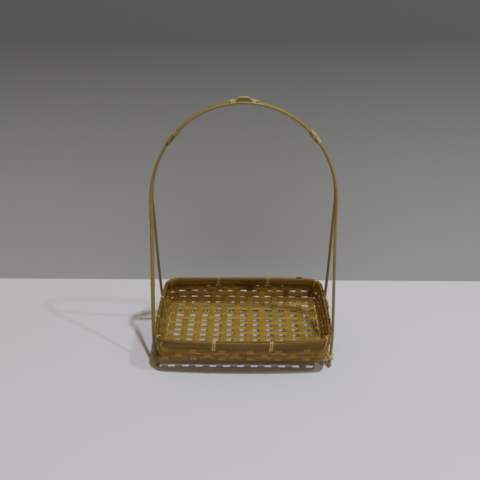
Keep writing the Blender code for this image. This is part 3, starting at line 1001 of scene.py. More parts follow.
@dataclass(frozen=True)
class BambooFinish:
    """Split or round bamboo: skin, green skin, smoked skin and pith, with fibres along it.

    A range is what a mask covers and a span is what that becomes.
    """

    name: str
    skin: Colour
    green: Colour
    smoked: Colour
    pith: Colour
    fineness: float = 2600
    roughness_low: float = 0.34
    roughness_high: float = 0.56
    coat: float = 0.12
    coat_roughness: float = 0.28
    relief: float = 0.00010
    wear: float = 0.55
    ring_share: float = 0.45
    glow: float = 0.0
    glow_depth: float = 0.0014
    glow_radius: Colour = (1.0, 0.55, 0.15)
    specular: float = 0.16
    refraction: float = 1.48
    light_range: Span = (-0.5, 1.5)
    light_span: Span = (0.44, 1.56)
    streak_span: Span = (0.86, 1.12)
    mottle_range: Span = (0.25, 0.75)
    mottle_span: Span = (0.88, 1.1)
    smoke_share: float = 0.75
    pith_share: float = 0.55
    lip_share: float = 0.3
    end_stretch: Triple = (1, 2400, 2400)
    end_range: Span = (0.4, 0.6)
    pith_roughness: float = 0.18
    wear_roughness: float = 0.12
    thread_relief_share: float = 0.35
    mottle_relief_share: float = 0.3
    relief_strength: float = 0.8

    def build(self, groups: GroupMaker) -> bpy.types.Material:
        """Make the material.

        Args:
            groups: The shared node groups.

        Returns:
            The material.
        """
        material, wiring, shader = new_material(self.name)
        straight = wiring.attribute("straight")
        face = wiring.split(wiring.attribute("face"))
        tone = wiring.split(wiring.attribute("tone"))
        gap = wiring.attribute("joint_gap", "Fac")
        fibre = wiring.group(groups.fibre, straight=straight, fineness=self.fineness)
        ring = wiring.group(groups.culm_ring, gap=gap, straight=straight)
        smoke = wiring.group(groups.smoke, straight=straight, share=tone["Z"])
        wear = wiring.group(groups.edge_wear, edge=face["X"], straight=straight, amount=self.wear)

        colour = wiring.mix(tone["X"], self.skin, self.green)
        # Tone Y sets how light the colour is, painted shade and painted light included.
        level = wiring.product(wiring.ramp(tone["Y"], *self.light_range, *self.light_span),
                               wiring.ramp(fibre["Streaks"], 0, 1, *self.streak_span),
                               wiring.ramp(smoke["Mottle"], *self.mottle_range, *self.mottle_span))
        grey = wiring.add("ShaderNodeCombineXYZ")
        wiring.feed_all(grey, x=level, y=level, z=level)
        colour = wiring.mix(1, colour, grey.outputs[0], blend="MULTIPLY")
        ends = wiring.noise(wiring.scale(straight, self.end_stretch))
        end_colour = wiring.mix(wiring.ramp(ends, *self.end_range), self.pith, self.smoked)
        for share, cover in (
                (wiring.product(smoke["Mask"], self.smoke_share), self.smoked),
                (wiring.product(face["Y"], self.pith_share), self.pith),
                (wear["Mask"], self.pith),
                (wiring.product(ring["Lip"], self.lip_share), self.pith),
                (wiring.product(ring["Line"], self.ring_share), self.smoked),
                (face["Z"], end_colour)):
            colour = wiring.mix(share, colour, cover)
        wiring.feed(shader.inputs["Base Color"], colour)

        roughness = wiring.ramp(fibre["Threads"], 0, 1, self.roughness_high, self.roughness_low)
        roughness = wiring.math("ADD", roughness, wiring.product(face["Y"], self.pith_roughness))
        roughness = wiring.math("ADD", roughness, wiring.product(wear["Mask"], self.wear_roughness),
                                clamp=True)
        wiring.feed(shader.inputs["Roughness"], roughness)
        height = wiring.math("ADD", wiring.product(fibre["Threads"], self.thread_relief_share),
                             ring["Height"])
        height = wiring.math("ADD", height, wiring.product(smoke["Mottle"], self.mottle_relief_share))
        bump = wiring.add("ShaderNodeBump")
        wiring.feed_all(bump, strength=self.relief_strength, distance=self.relief, height=height)
        wiring.feed(shader.inputs["Normal"], bump.outputs[0])
        wiring.feed_all(
            shader, coat_weight=self.coat, coat_roughness=self.coat_roughness,
            subsurface_weight=self.glow, subsurface_radius=self.glow_radius,
            subsurface_scale=self.glow_depth)
        wiring.feed(shader.inputs["IOR"], self.refraction)
        wiring.feed(shader.inputs["Specular IOR Level"], self.specular)
        return material


STAKE_FINISH = BambooFinish(
    "stake_splint", skin=(0.288, 0.156, 0.021), green=(0.235, 0.165, 0.024),
    smoked=(0.070, 0.032, 0.006), pith=(0.350, 0.225, 0.050), coat=0.05, glow=0.7)
WEAVER_FINISH = BambooFinish(
    "weaver_splint", skin=(0.305, 0.198, 0.036), green=(0.275, 0.192, 0.038),
    smoked=(0.100, 0.050, 0.010), pith=(0.380, 0.265, 0.075), fineness=3200,
    coat=0.05, glow=0.7)
BAND_FINISH = replace(
    WEAVER_FINISH, name="band_splint", skin=(0.262, 0.144, 0.018), green=(0.222, 0.154, 0.020),
    smoked=(0.060, 0.027, 0.005), pith=(0.290, 0.160, 0.026), wear=0.15)
RIM_FINISH = BambooFinish(
    "rim_splint", skin=(0.157, 0.084, 0.0135), green=(0.148, 0.093, 0.0165),
    smoked=(0.060, 0.028, 0.006), pith=(0.280, 0.165, 0.040), fineness=1900, wear=0.7, coat=0.05)
ROD_FINISH = BambooFinish(
    "rod_culm", skin=(0.276, 0.179, 0.042), green=(0.216, 0.176, 0.047),
    smoked=(0.105, 0.062, 0.020), pith=(0.380, 0.280, 0.120), fineness=2200,
    roughness_low=0.3, roughness_high=0.48, coat=0.2, relief=0.00014, ring_share=0.45)
RATTAN_FINISH = BambooFinish(
    "rattan_strand", skin=(0.470, 0.370, 0.150), green=(0.360, 0.310, 0.130),
    smoked=(0.150, 0.105, 0.042), pith=(0.520, 0.430, 0.210), fineness=3600,
    roughness_low=0.45, roughness_high=0.68, coat=0.04, wear=0.3)
STITCH_FINISH = replace(
    RATTAN_FINISH, name="stitch_strand", skin=(0.390, 0.280, 0.096), green=(0.310, 0.230, 0.080),
    smoked=(0.110, 0.068, 0.020), pith=(0.380, 0.270, 0.100))
# Painted light: a paler rattan for the left half of the bar wraps, where light through the floor's
# holes falls.
PAINTED_LIGHT_WRAP_FINISH = replace(
    RATTAN_FINISH, name="painted_light_wrap_strand", skin=(0.640, 0.540, 0.270), green=(0.560, 0.490, 0.240))


class Dresser:
    """Gives a finished piece its material and its body, and hides the nodes that it stands for."""

    def __init__(self) -> None:
        """Build the materials."""
        groups = GroupMaker()
        finishes = (STAKE_FINISH, WEAVER_FINISH, BAND_FINISH, RIM_FINISH, ROD_FINISH, RATTAN_FINISH,
                    STITCH_FINISH, PAINTED_LIGHT_WRAP_FINISH)
        self.materials = {finish.name: finish.build(groups) for finish in finishes}

    def dress(self, piece: bpy.types.Object, finish: BambooFinish, slot: Slot, *nodes: str) -> None:
        """Finish a piece.

        Args:
            piece: The mesh object.
            finish: Its finish.
            slot: Its material slot in the record; not used.
            nodes: The frame's nodes that it stands for.
        """
        piece.data.materials.append(self.materials[finish.name])
        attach(piece, BODY)
        if nodes:
            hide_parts(*nodes)
        LOG.info("%s: %d faces", piece.name, len(piece.data.polygons))


# Sub-assemblies


@dataclass
class Assembly:
    """What every sub-assembly is built on."""

    sheet: Sheet
    weave: Weave
    dresser: Dresser


@dataclass
class WovenStrips(Assembly):
    """The floor's strips, which fold up at both ends and end between the rim bands."""

    step: float = 0.0016
    corner: float = 0.00028
    crown: float = 0.00006
    edge_wander: float = 0.00022
    narrowing_wavelength: float = 0.07
    proud_end: float = 0.0026
    proud_stake: int = 10
    stake_seed: int = 100
    weaver_seed: int = 200
    narrowing_seed: int = 500
    front_lift: float = 0.8
    # Painted shade on the weavers up the walls.
    weaver_wall_painted_shade: float = 0.7
    weaver_green_shares: Span = (0.0, 0.6)
    weaver_light_shares: Span = (0.4, 0.75)
    weaver_smoke_shares: Span = (0.0, 0.35)
    stake_green_shares: tuple[float, ...] = (
        0.10, 0.25, 0.15, 0.20, 0.90, 0.20, 0.10, 0.05, 0.85, 0.20, 0.75, 0.25)
    stake_light_shares: tuple[float, ...] = (
        0.40, 0.42, 0.55, 0.60, 0.52, 0.50, 0.60, 0.62, 0.50, 0.58, 0.45, 0.30)
    stake_smoke_shares: tuple[float, ...] = (
        0.30, 0.35, 0.15, 0.20, 0.15, 0.25, 0.30, 0.15, 0.20, 0.30, 0.25, 0.50)

    def rising(self, side: Side, index: int, top: float) -> list[Span]:
        """Crossings of one wall, upwards.

        Args:
            side: The wall's side.
            index: The strip's index as a stake or weaver.
            top: Run up to the strip's end.

        Returns:
            Each crossing's run and how far the strip stands proud there.
        """
        wave = self.weave.stake_wave
        rise = [(self.weave.band_run(self.sheet, band),
                 -wave if self.weave.upright_inside(side, index, band) else wave)
                for band in range(self.weave.band_count)]
        return rise + [(self.sheet.wall_run, 0), (top, 0)]

    def lay(self, name: str, sides: tuple[Side, Side], along: float, width: float, thickness: float,
            crossings: tuple[list[Span], ...], floor_length: float, seed: int, tone: Tone
            ) -> bpy.types.Object:
        """Sweep one strip over the floor and up two walls.

        Args:
            name: The node it stands for.
            sides: The walls at its two ends.
            along: Its distance along the first wall.
            width: Its width.
            thickness: Its thickness.
            crossings: First wall, floor and second wall, as (run or floor distance, proud).
            floor_length: Length of the floor under it.
            seed: What makes its drift its own.
            tone: Its colour.

        Returns:
            The strip.
        """
        first_top, second_top = crossings[0][-1][0], crossings[2][-1][0]
        floor_end = first_top + floor_length
        way = [(first_top - run, proud) for run, proud in reversed(crossings[0])]
        way += [(first_top + distance, proud) for distance, proud in crossings[1]]
        way += [(floor_end + run, proud) for run, proud in crossings[2]]
        wave = Wave(tuple(way))
        drift = Wander(seed, self.edge_wander)
        narrowing = Wander(seed + self.narrowing_seed, self.edge_wander, self.narrowing_wavelength)

        def section_at(distance: float) -> Section:
            """The strip's outline, a little wider or narrower from place to place."""
            return Section.of_strip(width + narrowing.at(distance), thickness, self.corner, self.crown)

        def place(distance: float, across: float, through: float) -> Vector:
            """Bend the straight strip onto the sheet, skin side inwards."""
            shift = along + drift.at(distance) + across
            proud = wave.at(distance) - through
            if distance < floor_end:
                return self.sheet.point(sides[0], shift, first_top - distance, proud)
            return self.sheet.point(sides[1], -shift, distance - floor_end, proud)

        distances = steps_between(0, first_top, self.step)
        distances += steps_between(first_top, floor_end, self.step)[1:]
        distances += steps_between(floor_end, floor_end + second_top, self.step)[1:]
        return sweep(name, distances, section_at, place, tone, CulmJoints(seed))

    def make_stakes(self) -> None:
        """The wide stakes, front to back."""
        weave, sheet = self.weave, self.sheet
        top = sheet.rim_run - weave.end_drop
        for stake in range(weave.stake_count):
            seed = self.stake_seed + stake
            floor = [(weave.weaver_place(weaver) + sheet.half_y,
                      -weave.stake_wave if weave.stake_inside(stake, weaver) else weave.stake_wave)
                     for weaver in range(weave.weaver_count)]
            back_top = sheet.rim_run + self.proud_end if stake == self.proud_stake else top
            crossings = (self.rising(Side.FRONT, stake, top), floor,
                         self.rising(Side.BACK, stake, back_top))
            tone = Tone(self.stake_green_shares[stake], self.stake_light_shares[stake],
                        self.stake_smoke_shares[stake], Random(seed).uniform(0, GRAIN_REACH),
                        front_lift=self.front_lift)
            name = f"stake_{stake + 1:02d}"
            piece = self.lay(f"{name}_splint", (Side.FRONT, Side.BACK), weave.stake_place(stake),
                             weave.stake_width, weave.stake_thickness, crossings, 2 * sheet.half_y,
                             seed, tone)
            self.dresser.dress(piece, STAKE_FINISH, Slot.STAKE, name)

    def make_weavers(self) -> None:
        """The narrow weavers, left to right."""
        weave, sheet = self.weave, self.sheet
        top = sheet.rim_run - weave.end_drop
        half_flat = weave.stake_width / 2
        for weaver in range(weave.weaver_count):
            seed = self.weaver_seed + weaver
            chance = Random(seed)
            floor = []
            for stake in range(weave.stake_count):
                proud = weave.floor_wave if weave.stake_inside(stake, weaver) else -weave.floor_wave
                for shift in (-half_flat, half_flat):
                    floor.append((weave.stake_place(stake) + shift + sheet.half_x, proud))
            crossings = (self.rising(Side.LEFT, weaver, top), floor,
                         self.rising(Side.RIGHT, weaver, top))
            shares = [chance.uniform(*span) for span in
                      (self.weaver_green_shares, self.weaver_light_shares, self.weaver_smoke_shares)]
            # The weaver's tone carries painted shade up the walls and painted light at the right end.
            tone = Tone(*shares, chance.uniform(0, GRAIN_REACH), self.weaver_wall_painted_shade,
                        right_end_painted_light=weave.right_end_painted_light)
            name = f"weaver_{weaver + 1:02d}"
            piece = self.lay(f"{name}_splint", (Side.LEFT, Side.RIGHT), -weave.weaver_place(weaver),
                             weave.weaver_width, weave.weaver_thickness, crossings, 2 * sheet.half_x,
                             seed, tone)
            self.dresser.dress(piece, WEAVER_FINISH, Slot.WEAVER, name)

    def make(self) -> None:
        """Make all the strips."""
        self.make_stakes()
        self.make_weavers()


@dataclass
class Bands(Assembly):
    """The bands that go round the walls and the two that clasp the rim."""

    step: float = 0.0018
    corner: float = 0.00026
    rim_corner: float = 0.0004
    butt_gap: float = 0.0004
    edge_wander: float = 0.00045
    rim_wander: float = 0.00035
    inner_lap: float = 0.0170
    outer_lap: float = 0.0240
    lap_ramp: float = 0.0060
    lap_clearance: float = 0.0001
    front_lift: float = 0.0016
    lift_middle: float = 0.0300
    lift_reach: float = 0.0750
    inner_start_along: float = -0.014
    outer_start_along: float = 0.002
    rim_wavelength: float = 0.17
    rim_ring_spacing: float = 0.26
    thinnest_share: float = 0.35
    drift_seed: int = 300
    tone_seed: int = 320
    ring_seed: int = 330
    rim_seed: int = 340
    first_start_stake: int = 2
    green_shares: Span = (0.1, 0.5)
    band_light_shares: tuple[float, ...] = (0.45, 0.51, 0.57)
    band_smoke_share: float = 0.55

    def spot(self, distance: float, run: float) -> tuple[Side, float]:
        """A place round the tray.

        Args:
            distance: Distance round it from the left end of the front.
            run: Run up the wall at which it is measured.

        Returns:
            The side and the place along it.
        """
        remaining = distance % self.round_length(run)
        for side in Side:
            length = 2 * self.sheet.reach(side, run)
            if remaining <= length or side is Side.LEFT:
                return side, remaining - length / 2
            remaining -= length
        raise ValueError("a distance round the tray lies on no side")

    def round_length(self, run: float) -> float:
        """Distance once round the tray."""
        return sum(2 * self.sheet.reach(side, run) for side in Side)

    def start_at(self, side: Side, along: float, run: float) -> float:
        """Distance round the tray to a place along a side."""
        before = sum(2 * self.sheet.reach(other, run) for other in Side if other.value < side.value)
        return before + self.sheet.reach(side, run) + along

    def make_wall_bands(self) -> None:
        """Three bands woven through the uprights, each with its ends under an upright at the back."""
        weave = self.weave
        for band, level in enumerate(("lower", "middle", "upper")):
            run = weave.band_run(self.sheet, band)
            round_length = self.round_length(run)
            crossings = []
            for side in Side:
                for along, half_width, index in weave.uprights(side):
                    sense = 1 if weave.upright_inside(side, index, band) else -1
                    middle = self.start_at(side, along, run)
                    crossings += [(middle - half_width, sense * weave.band_wave),
                                  (middle + half_width, sense * weave.band_wave)]
            wave = Wave(tuple((distance + turn * round_length, proud) for turn in (-1, 0, 1)
                              for distance, proud in crossings))
            start_stake = self.first_start_stake + 2 * band
            start = self.start_at(Side.BACK, weave.stake_place(start_stake), run)
            drift = Wander(self.drift_seed + band, self.edge_wander)

            def place(distance: float, across: float, through: float) -> Vector:
                """Bend the straight band round the tray, skin side outwards."""
                side, along = self.spot(distance, run)
                return self.sheet.point(side, along, run + across + drift.at(distance),
                                        wave.at(distance) + through)

            section = Section.of_strip(weave.band_width, weave.band_thickness, self.corner, 0)
            distances = steps_between(start, start + round_length - self.butt_gap, self.step)
            chance = Random(self.tone_seed + band)
            # The wall band's tone carries painted light at the tray's right end.
            tone = Tone(chance.uniform(*self.green_shares), self.band_light_shares[band],
                        self.band_smoke_share, chance.uniform(0, GRAIN_REACH),
                        right_end_painted_light=weave.right_end_painted_light)
            piece = sweep(f"wall_band_{level}_splint", distances, lambda _: section, place, tone,
                          CulmJoints(self.ring_seed + band))
            self.dresser.dress(piece, BAND_FINISH, Slot.WEAVER, f"wall_band_{level}")

    def inner_lift(self, side: Side, along: float) -> float:
        """How far the inner rim band has worked up out of the stitches.

        Args:
            side: Side of the tray.
            along: Place along it.

        Returns:
            Its rise there, at the front only.
        """
        if side is not Side.FRONT:
            return 0
        return self.front_lift * max(1 - ((along - self.lift_middle) / self.lift_reach) ** 2, 0)

    def make_rim_band(self, name: str, sense: int, start: float, lap: float, seed: int, tone: Tone
                      ) -> None:
        """A rim band whose end laps over its start.

        Args:
            name: The node it stands for.
            sense: -1 inside the uprights, 1 outside them.
            start: Distance round the tray to its start.
            lap: Length of the lap.
            seed: What makes its drift its own.
            tone: Its colour.
        """
        sheet, weave = self.sheet, self.weave
        run = (sheet.wall_run + sheet.rim_run) / 2
        round_length = self.round_length(run)
        drift = Wander(seed, self.rim_wander, self.rim_wavelength)
        step_out = weave.rim_thickness + self.lap_clearance
        ramp = Wave(((start + round_length - self.lap_ramp, 0), (start + round_length, step_out)))

        def section_at(distance: float) -> Section:
            """The band's outline, thinned towards the end of its lap."""
            left = start + round_length + lap - distance
            share = min(max(left / (2 * self.lap_ramp), self.thinnest_share), 1)
            return Section.of_strip(sheet.rim_height, weave.rim_thickness * share,
                                    self.rim_corner * share, 0)

        def place(distance: float, across: float, through: float) -> Vector:
            """Bend the straight band round the rim, skin side away from the uprights."""
            side, along = self.spot(distance, run)
            sunk = (weave.rim_thickness - 2 * abs(section_at(distance).points[0][1])) / 2
            proud = sense * (weave.rim_offset + ramp.at(distance) + through - sunk)
            lift = self.inner_lift(side, along) if sense < 0 else 0
            return sheet.point(side, along, run + across + drift.at(distance) + lift, proud)

        distances = steps_between(start, start + round_length + lap, self.step)
        piece = sweep(f"{name}_splint", distances, section_at, place, tone,
                      CulmJoints(seed, self.rim_ring_spacing))
        self.dresser.dress(piece, RIM_FINISH, Slot.RIM, name)

    def make(self) -> None:
        """Make all the bands."""
        self.make_wall_bands()
        run = self.sheet.wall_run
        inner_start = self.start_at(Side.BACK, self.inner_start_along, run)
        outer_start = self.start_at(Side.RIGHT, self.outer_start_along, run)
        # The inner rim band's tone carries painted light at the tray's right end.
        inner_tone = Tone(green_share=0.15, light_share=0.5, smoke_share=0.5, grain_start=1.7,
                          right_end_painted_light=self.weave.right_end_painted_light)
        outer_tone = Tone(green_share=0.3, light_share=0.55, smoke_share=0.3, grain_start=5.1)
        self.make_rim_band("inner_rim_band", -1, inner_start, self.inner_lap, self.rim_seed, inner_tone)
        self.make_rim_band("outer_rim_band", 1, outer_start, self.outer_lap, self.rim_seed + 1,
                           outer_tone)


@dataclass
class Stitches(Assembly):
    """Rattan strands wound round both rim bands through the slot below them."""

    width: float = 0.0020
    thickness: float = 0.0006
    lead: float = 0.0027
    slanting_lead: float = 0.0090
    contact: float = 0.0002
    turns: float = 2.15
    short_turns: float = 1.4
    corner_radius: float = 0.0006
    pitches: int = 2
    gap_weavers: tuple[int, int] = (3, 7)
    step: float = 0.0006
    start_share: float = 0.80
    first_seed: int = 400
    back_light_shares: Span = (0.1, 0.4)
    light_shares: Span = (0.75, 1.15)
    green_shares: Span = (0, 0.4)
    smoke_shares: Span = (0, 0.2)

    def make_stitch(self, name: str, side: Side, along: float, turns: float, lead: float, seed: int
                    ) -> None:
        """Wind one stitch.

        Args:
            name: The node it stands for.
            side: Side of the tray.
            along: Its place along the side.
            turns: How often it goes round.
            lead: How far it moves along the rim in a turn.
            seed: What makes its colour its own.
        """
        face = self.weave.rim_face - self.corner_radius
        heights = (self.corner_radius, self.sheet.rim_height - self.corner_radius)
        discs = tuple((across, up, self.corner_radius) for across in (-face, face) for up in heights)
        loop = TautLoop(discs, self.contact + self.thickness / 2)
        start = loop.length * self.start_share
        length = turns * loop.length
        chance = Random(seed)

        def place(distance: float, across: float, through: float) -> Vector:
            """Wrap the straight strand round the rim."""
            proud, up, out_proud, out_up = loop.at(start + distance)
            drift = lead * (distance - length / 2) / loop.length
            point = self.sheet.point(side, along + drift + across, self.sheet.wall_run,
                                     proud + out_proud * through)
            return point + UP * (up + out_up * through)

        section = Section.of_strand(self.width, self.thickness)
        light_shares = self.back_light_shares if side is Side.BACK else self.light_shares
        light_share = chance.uniform(*light_shares)
        tone = Tone(chance.uniform(*self.green_shares), light_share, chance.uniform(*self.smoke_shares),
                    chance.uniform(0, GRAIN_REACH))
        distances = steps_between(0, length, self.step)
        piece = sweep(f"{name}_strand", distances, lambda _: section, place, tone)
        self.dresser.dress(piece, STITCH_FINISH, Slot.RATTAN, name)

    def make(self) -> None:
        """Make the stitches of the sides and the corners."""
        long_place = self.pitches * self.weave.stake_pitch
        front_gap, back_gap = [self.weave.weaver_gap_place(weaver) for weaver in self.gap_weavers]
        straight, slanting = (self.turns, self.lead), (self.short_turns, self.slanting_lead)
        plan = [
            ("front_left", Side.FRONT, -long_place, *straight),
            ("front_right", Side.FRONT, long_place, *straight),
            ("back_right", Side.BACK, -long_place, *straight),
            ("back_left", Side.BACK, long_place, *straight),
            ("right_front", Side.RIGHT, front_gap, *slanting),
            ("right_back", Side.RIGHT, back_gap, *slanting),
            ("left_back", Side.LEFT, -back_gap, *slanting),
            ("left_front", Side.LEFT, -front_gap, *slanting),
        ]
        for side, corner in zip(Side, ("front_right", "back_right", "back_left", "front_left")):
            reach = self.sheet.reach(side, self.sheet.wall_run)
            plan.append((f"corner_{corner}", side, reach, *slanting))
        for seed, (label, side, along, turns, lead) in enumerate(plan, self.first_seed):
            self.make_stitch(f"rim_stitch_{label}", side, along, turns, lead, seed)


@dataclass
class Handle(Assembly):
    """The two hoops with their lashings and the rattan loop at the crown."""

    radius: float = 0.0021
    foot_stub: float = 0.0040
    foot_half_width: float = 0.1185
    foot_half_depth: float = 0.0600
    spring_half_width: float = 0.1200
    spring_height: float = 0.2200
    crown_height: float = 0.3540
    shoulder_angle: float = 0.750
    splay_angle: float = 0.300
    splay_power: float = 1.30
    rod_clearance: float = 0.0003
    step: float = 0.0022
    rod_points: int = 20
    swelling: float = 0.00028
    ring_reach: float = 0.0028
    arch_thinning_share: float = 0.12
    flat_share: float = 0.34
    flat_height: float = 0.120
    flat_reach: float = 0.130
    strand_width: float = 0.00165
    strand_thickness: float = 0.00095
    strand_contact: float = 0.00008
    strand_lead: float = 0.00185
    shoulder_turns: float = 9.0
    shoulder_gap: float = 0.0022
    crown_turns: float = 3.0
    crown_place: float = 0.0125
    loop_half_length: float = 0.0185
    loop_window: float = 0.0095
    loop_rise: float = 0.0034
    loop_end_share: float = 0.45
    loop_half_width: float = 0.0010
    loop_half_height: float = 0.00120
    loop_strand_offset: float = 0.00095
    loop_end_offset_share: float = 0.2
    loop_points: int = 12
    low_strand_share: float = 0.40
    strand_step: float = 0.0006
    ring_spacing: float = 0.097
    drift_share: float = 0.07
    drift_turns: float = 1.7
    start_share: float = 0.1
    thinning_speed: float = 3
    flat_power: int = 4
    first_seed: int = 71

    @property
    def rod_spacing(self) -> float:
        """Distance of each rod's middle from the middle plane over the crown."""
        return self.radius + self.rod_clearance / 2

    @property
    def arch_rise(self) -> float:
        """Height of the crown over the springs."""
        return self.crown_height - self.spring_height

    def splay(self, height: float) -> float:
        """Distance of a hoop's middle line from the middle plane.

        Args:
            height: Height over the table.

        Returns:
            The distance there.
        """
        shoulder = self.spring_height + self.arch_rise * sin(self.splay_angle)
        share = max(1 - height / shoulder, 0) ** self.splay_power
        return self.rod_spacing + (self.foot_half_depth - self.rod_spacing) * share

    @cached_property
    def rim_level(self) -> float:
        """Height at which the legs bear on the rim."""
        return self.sheet.floor_height + self.sheet.wall_rise + self.sheet.rim_height / 2

    @cached_property
    def rim_half_width(self) -> float:
        """Distance of a leg from the middle where it bears on the rim."""
        face = self.sheet.point(Side.RIGHT, self.splay(self.rim_level), self.sheet.wall_run,
                                self.weave.rim_face)
        return face.x + self.rod_clearance + self.radius

    def leg_half_width(self, height: float) -> float:
        """Half the width between the legs.

        Args:
            height: Height over the table, up to the springs.

        Returns:
            The half width there.
        """
        if height < self.rim_level:
            share = height / self.rim_level
            spread = self.rim_half_width - self.foot_half_width
            return self.foot_half_width + spread * share * (2 - share)
        share = (height - self.rim_level) / (self.spring_height - self.rim_level)
        return self.rim_half_width + (self.spring_half_width - self.rim_half_width) * ease(share)

    def arch_point(self, angle: float) -> Vector:
        """Place on the arch in the middle plane, at an angle up from the right spring."""
        return Vector((self.spring_half_width * cos(angle), 0,
                       self.spring_height + self.arch_rise * sin(angle)))

    def line(self, sense: int) -> list[Vector]:
        """Middle line of a hoop.

        Args:
            sense: -1 for the front hoop, 1 for the back one.

        Returns:
            Its points from the right foot to the left one.
        """
        heights = [0.0] + steps_between(self.foot_stub, self.spring_height, self.step)[:-1]
        leg = [Vector((self.leg_half_width(max(height, self.foot_stub)), 0, height))
               for height in heights]
        arch_steps = int(pi * self.arch_rise / self.step)
        arch = [self.arch_point(pi * step / arch_steps) for step in range(arch_steps + 1)]
        other_leg = [Vector((-point.x, 0, point.z)) for point in reversed(leg)]
        whole = leg + arch + other_leg
        for point in whole:
            point.y = sense * self.splay(max(point.z, self.foot_stub))
        return whole

    def make_hoop(self, name: str, sense: int, seed: int, tone: Tone, flat_side: int) -> None:
        """Bend one rod into a hoop.

        Args:
            name: The node it stands for.
            sense: -1 at the front, 1 at the back.
            seed: What makes its rings its own.
            tone: Its colour.
            flat_side: -1 or 1 for the leg that is split flat, 0 for neither.
        """
        line = self.line(sense)
        distances = [0.0]
        for start, end in zip(line, line[1:]):
            distances.append(distances[-1] + (end - start).length)
        spots = dict(zip(distances, range(len(line))))
        joints = CulmJoints(seed, self.ring_spacing)

        def section_at(distance: float) -> Section:
            """The rod's outline: swollen at its rings, flattened where it is split."""
            middle = line[spots[distance]]
            swell = self.swelling * exp(-(joints.gap(distance) / self.ring_reach) ** 2)
            over_spring = middle.z / self.spring_height - 1
            flat = -self.arch_thinning_share * clamp_share(over_spring * self.thinning_speed)
            if flat_side * middle.x > 0:
                aside = (middle.z - self.flat_height) / self.flat_reach
                flat += self.flat_share * exp(-aside ** self.flat_power)
            radius = self.radius + swell - self.swelling / 2
            return Section.of_rod(radius * (1 + flat), radius * (1 - max(flat, 0)), self.rod_points)

        def place(distance: float, across: float, through: float) -> Vector:
            """Bend the straight rod along the hoop's line."""
            index = spots[distance]
            ahead = line[min(index + 1, len(line) - 1)] - line[max(index - 1, 0)]
            if index in (0, len(line) - 1):
                ahead = UP if index == 0 else -UP
            outward = ahead.cross(LEVEL_BACK).normalized()
            level = outward.cross(ahead).normalized()
            return line[index] + outward * across + level * through

        piece = sweep(f"{name}_rod", distances, section_at, place, tone, joints)
        self.dresser.dress(piece, ROD_FINISH, Slot.ROD, name)

    def arch_frame(self, angle: float) -> tuple[Vector, Vector]:
        """Place on the arch and the outward direction there."""
        heading = Vector((self.spring_half_width * sin(angle), 0, -self.arch_rise * cos(angle)))
        return self.arch_point(angle), heading.normalized().cross(LEVEL_BACK)

    def wind(self, name: str, loop: TautLoop, turns: float, lead: float,
             axes_at: Callable[[float], tuple[Vector, Vector]], tone: Tone, seed: int, *nodes: str,
             gap: float = 0.0, finish: BambooFinish = RATTAN_FINISH) -> None:
        """Wind a flat strand round something that runs across Y.

        Args:
            name: Name of the piece.
            loop: The way once round.
            turns: How often it goes round.
            lead: How far it moves on in a turn.
            axes_at: Middle and up direction of the winding at a distance along it.
            tone: Its colour.
            seed: What makes its drift its own.
            nodes: The frame's nodes that it stands for.
            gap: Free stretch that parts the winding into two groups.
            finish: Its finish.
        """
        length = turns * loop.length
        drift = Wander(seed, lead * self.drift_share, loop.length * self.drift_turns)
        start = loop.length * self.start_share
        step_over = Wave(((-1 / 2, -gap / 2), (1 / 2, gap / 2)))

        def place(distance: float, across: float, through: float) -> Vector:
            """Wrap the straight strand round what it binds."""
            beside, above, out_beside, out_above = loop.at(start + distance)
            turn = (distance - length / 2) / loop.length
            middle, up = axes_at(lead * turn + step_over.at(turn) + drift.at(distance) + across)
            middle = middle + LEVEL_BACK * (beside + out_beside * through)
            return middle + up * (above + out_above * through)

        section = Section.of_strand(self.strand_width, self.strand_thickness)
        distances = steps_between(0, length, self.strand_step)
        piece = sweep(name, distances, lambda _: section, place, tone)
        self.dresser.dress(piece, finish, Slot.RATTAN, *nodes)

    def bind_rods(self, name: str, angle: float, turns: float, seed: int, tone: Tone,
                  extra: Sequence[Triple] = (), gap: float = 0.0) -> None:
        """Wind a lashing square across both rods, which follows the arch.

        Args:
            name: The node it stands for.
            angle: Its middle's angle up from the right spring.
            turns: How often it goes round.
            seed: What makes its drift its own.
            tone: Its colour.
            extra: Discs that it binds besides the rods.
            gap: Free stretch that parts it into two groups.
        """
        discs = ((-self.rod_spacing, 0, self.radius), (self.rod_spacing, 0, self.radius), *extra)
        loop = TautLoop(discs, self.strand_contact + self.strand_thickness / 2)
        speed = hypot(self.spring_half_width * sin(angle), self.arch_rise * cos(angle))

        def axes_at(ahead: float) -> tuple[Vector, Vector]:
            """Middle of the rods and the outward direction."""
            return self.arch_frame(angle - ahead / speed)

        self.wind(f"{name}_strand", loop, turns, self.strand_lead, axes_at, tone, seed, name, gap=gap)

    def groove_height(self) -> float:
        """Height of the crown loop over the rods' middles, where it lies between them."""
        touch = self.radius + self.loop_half_height + self.rod_clearance
        return sqrt(touch**2 - self.rod_spacing**2)

    def make_crown_loop(self) -> None:
        """The raised loop: two strands whose ends lie in the groove between the rods."""
        end_angle = self.loop_half_length / self.spring_half_width
        window_angle = self.loop_window / self.spring_half_width
        rise_angle = window_angle * self.loop_end_share
        section = Section.of_rod(self.loop_half_width, self.loop_half_height, self.loop_points)
        pale = Tone(green_share=0.3, light_share=0.45, smoke_share=0.1, grain_start=2.2)
        dark = Tone(green_share=0.3, light_share=0.1, smoke_share=0.7, grain_start=6.1)
        distances = steps_between(0, 2 * self.loop_half_length, self.strand_step)
        for label, sense, rise, nodes, tone in (
                ("front", -1, self.loop_rise, ("crown_loop",), pale),
                ("back", 1, self.loop_rise * self.low_strand_share, (), dark)):

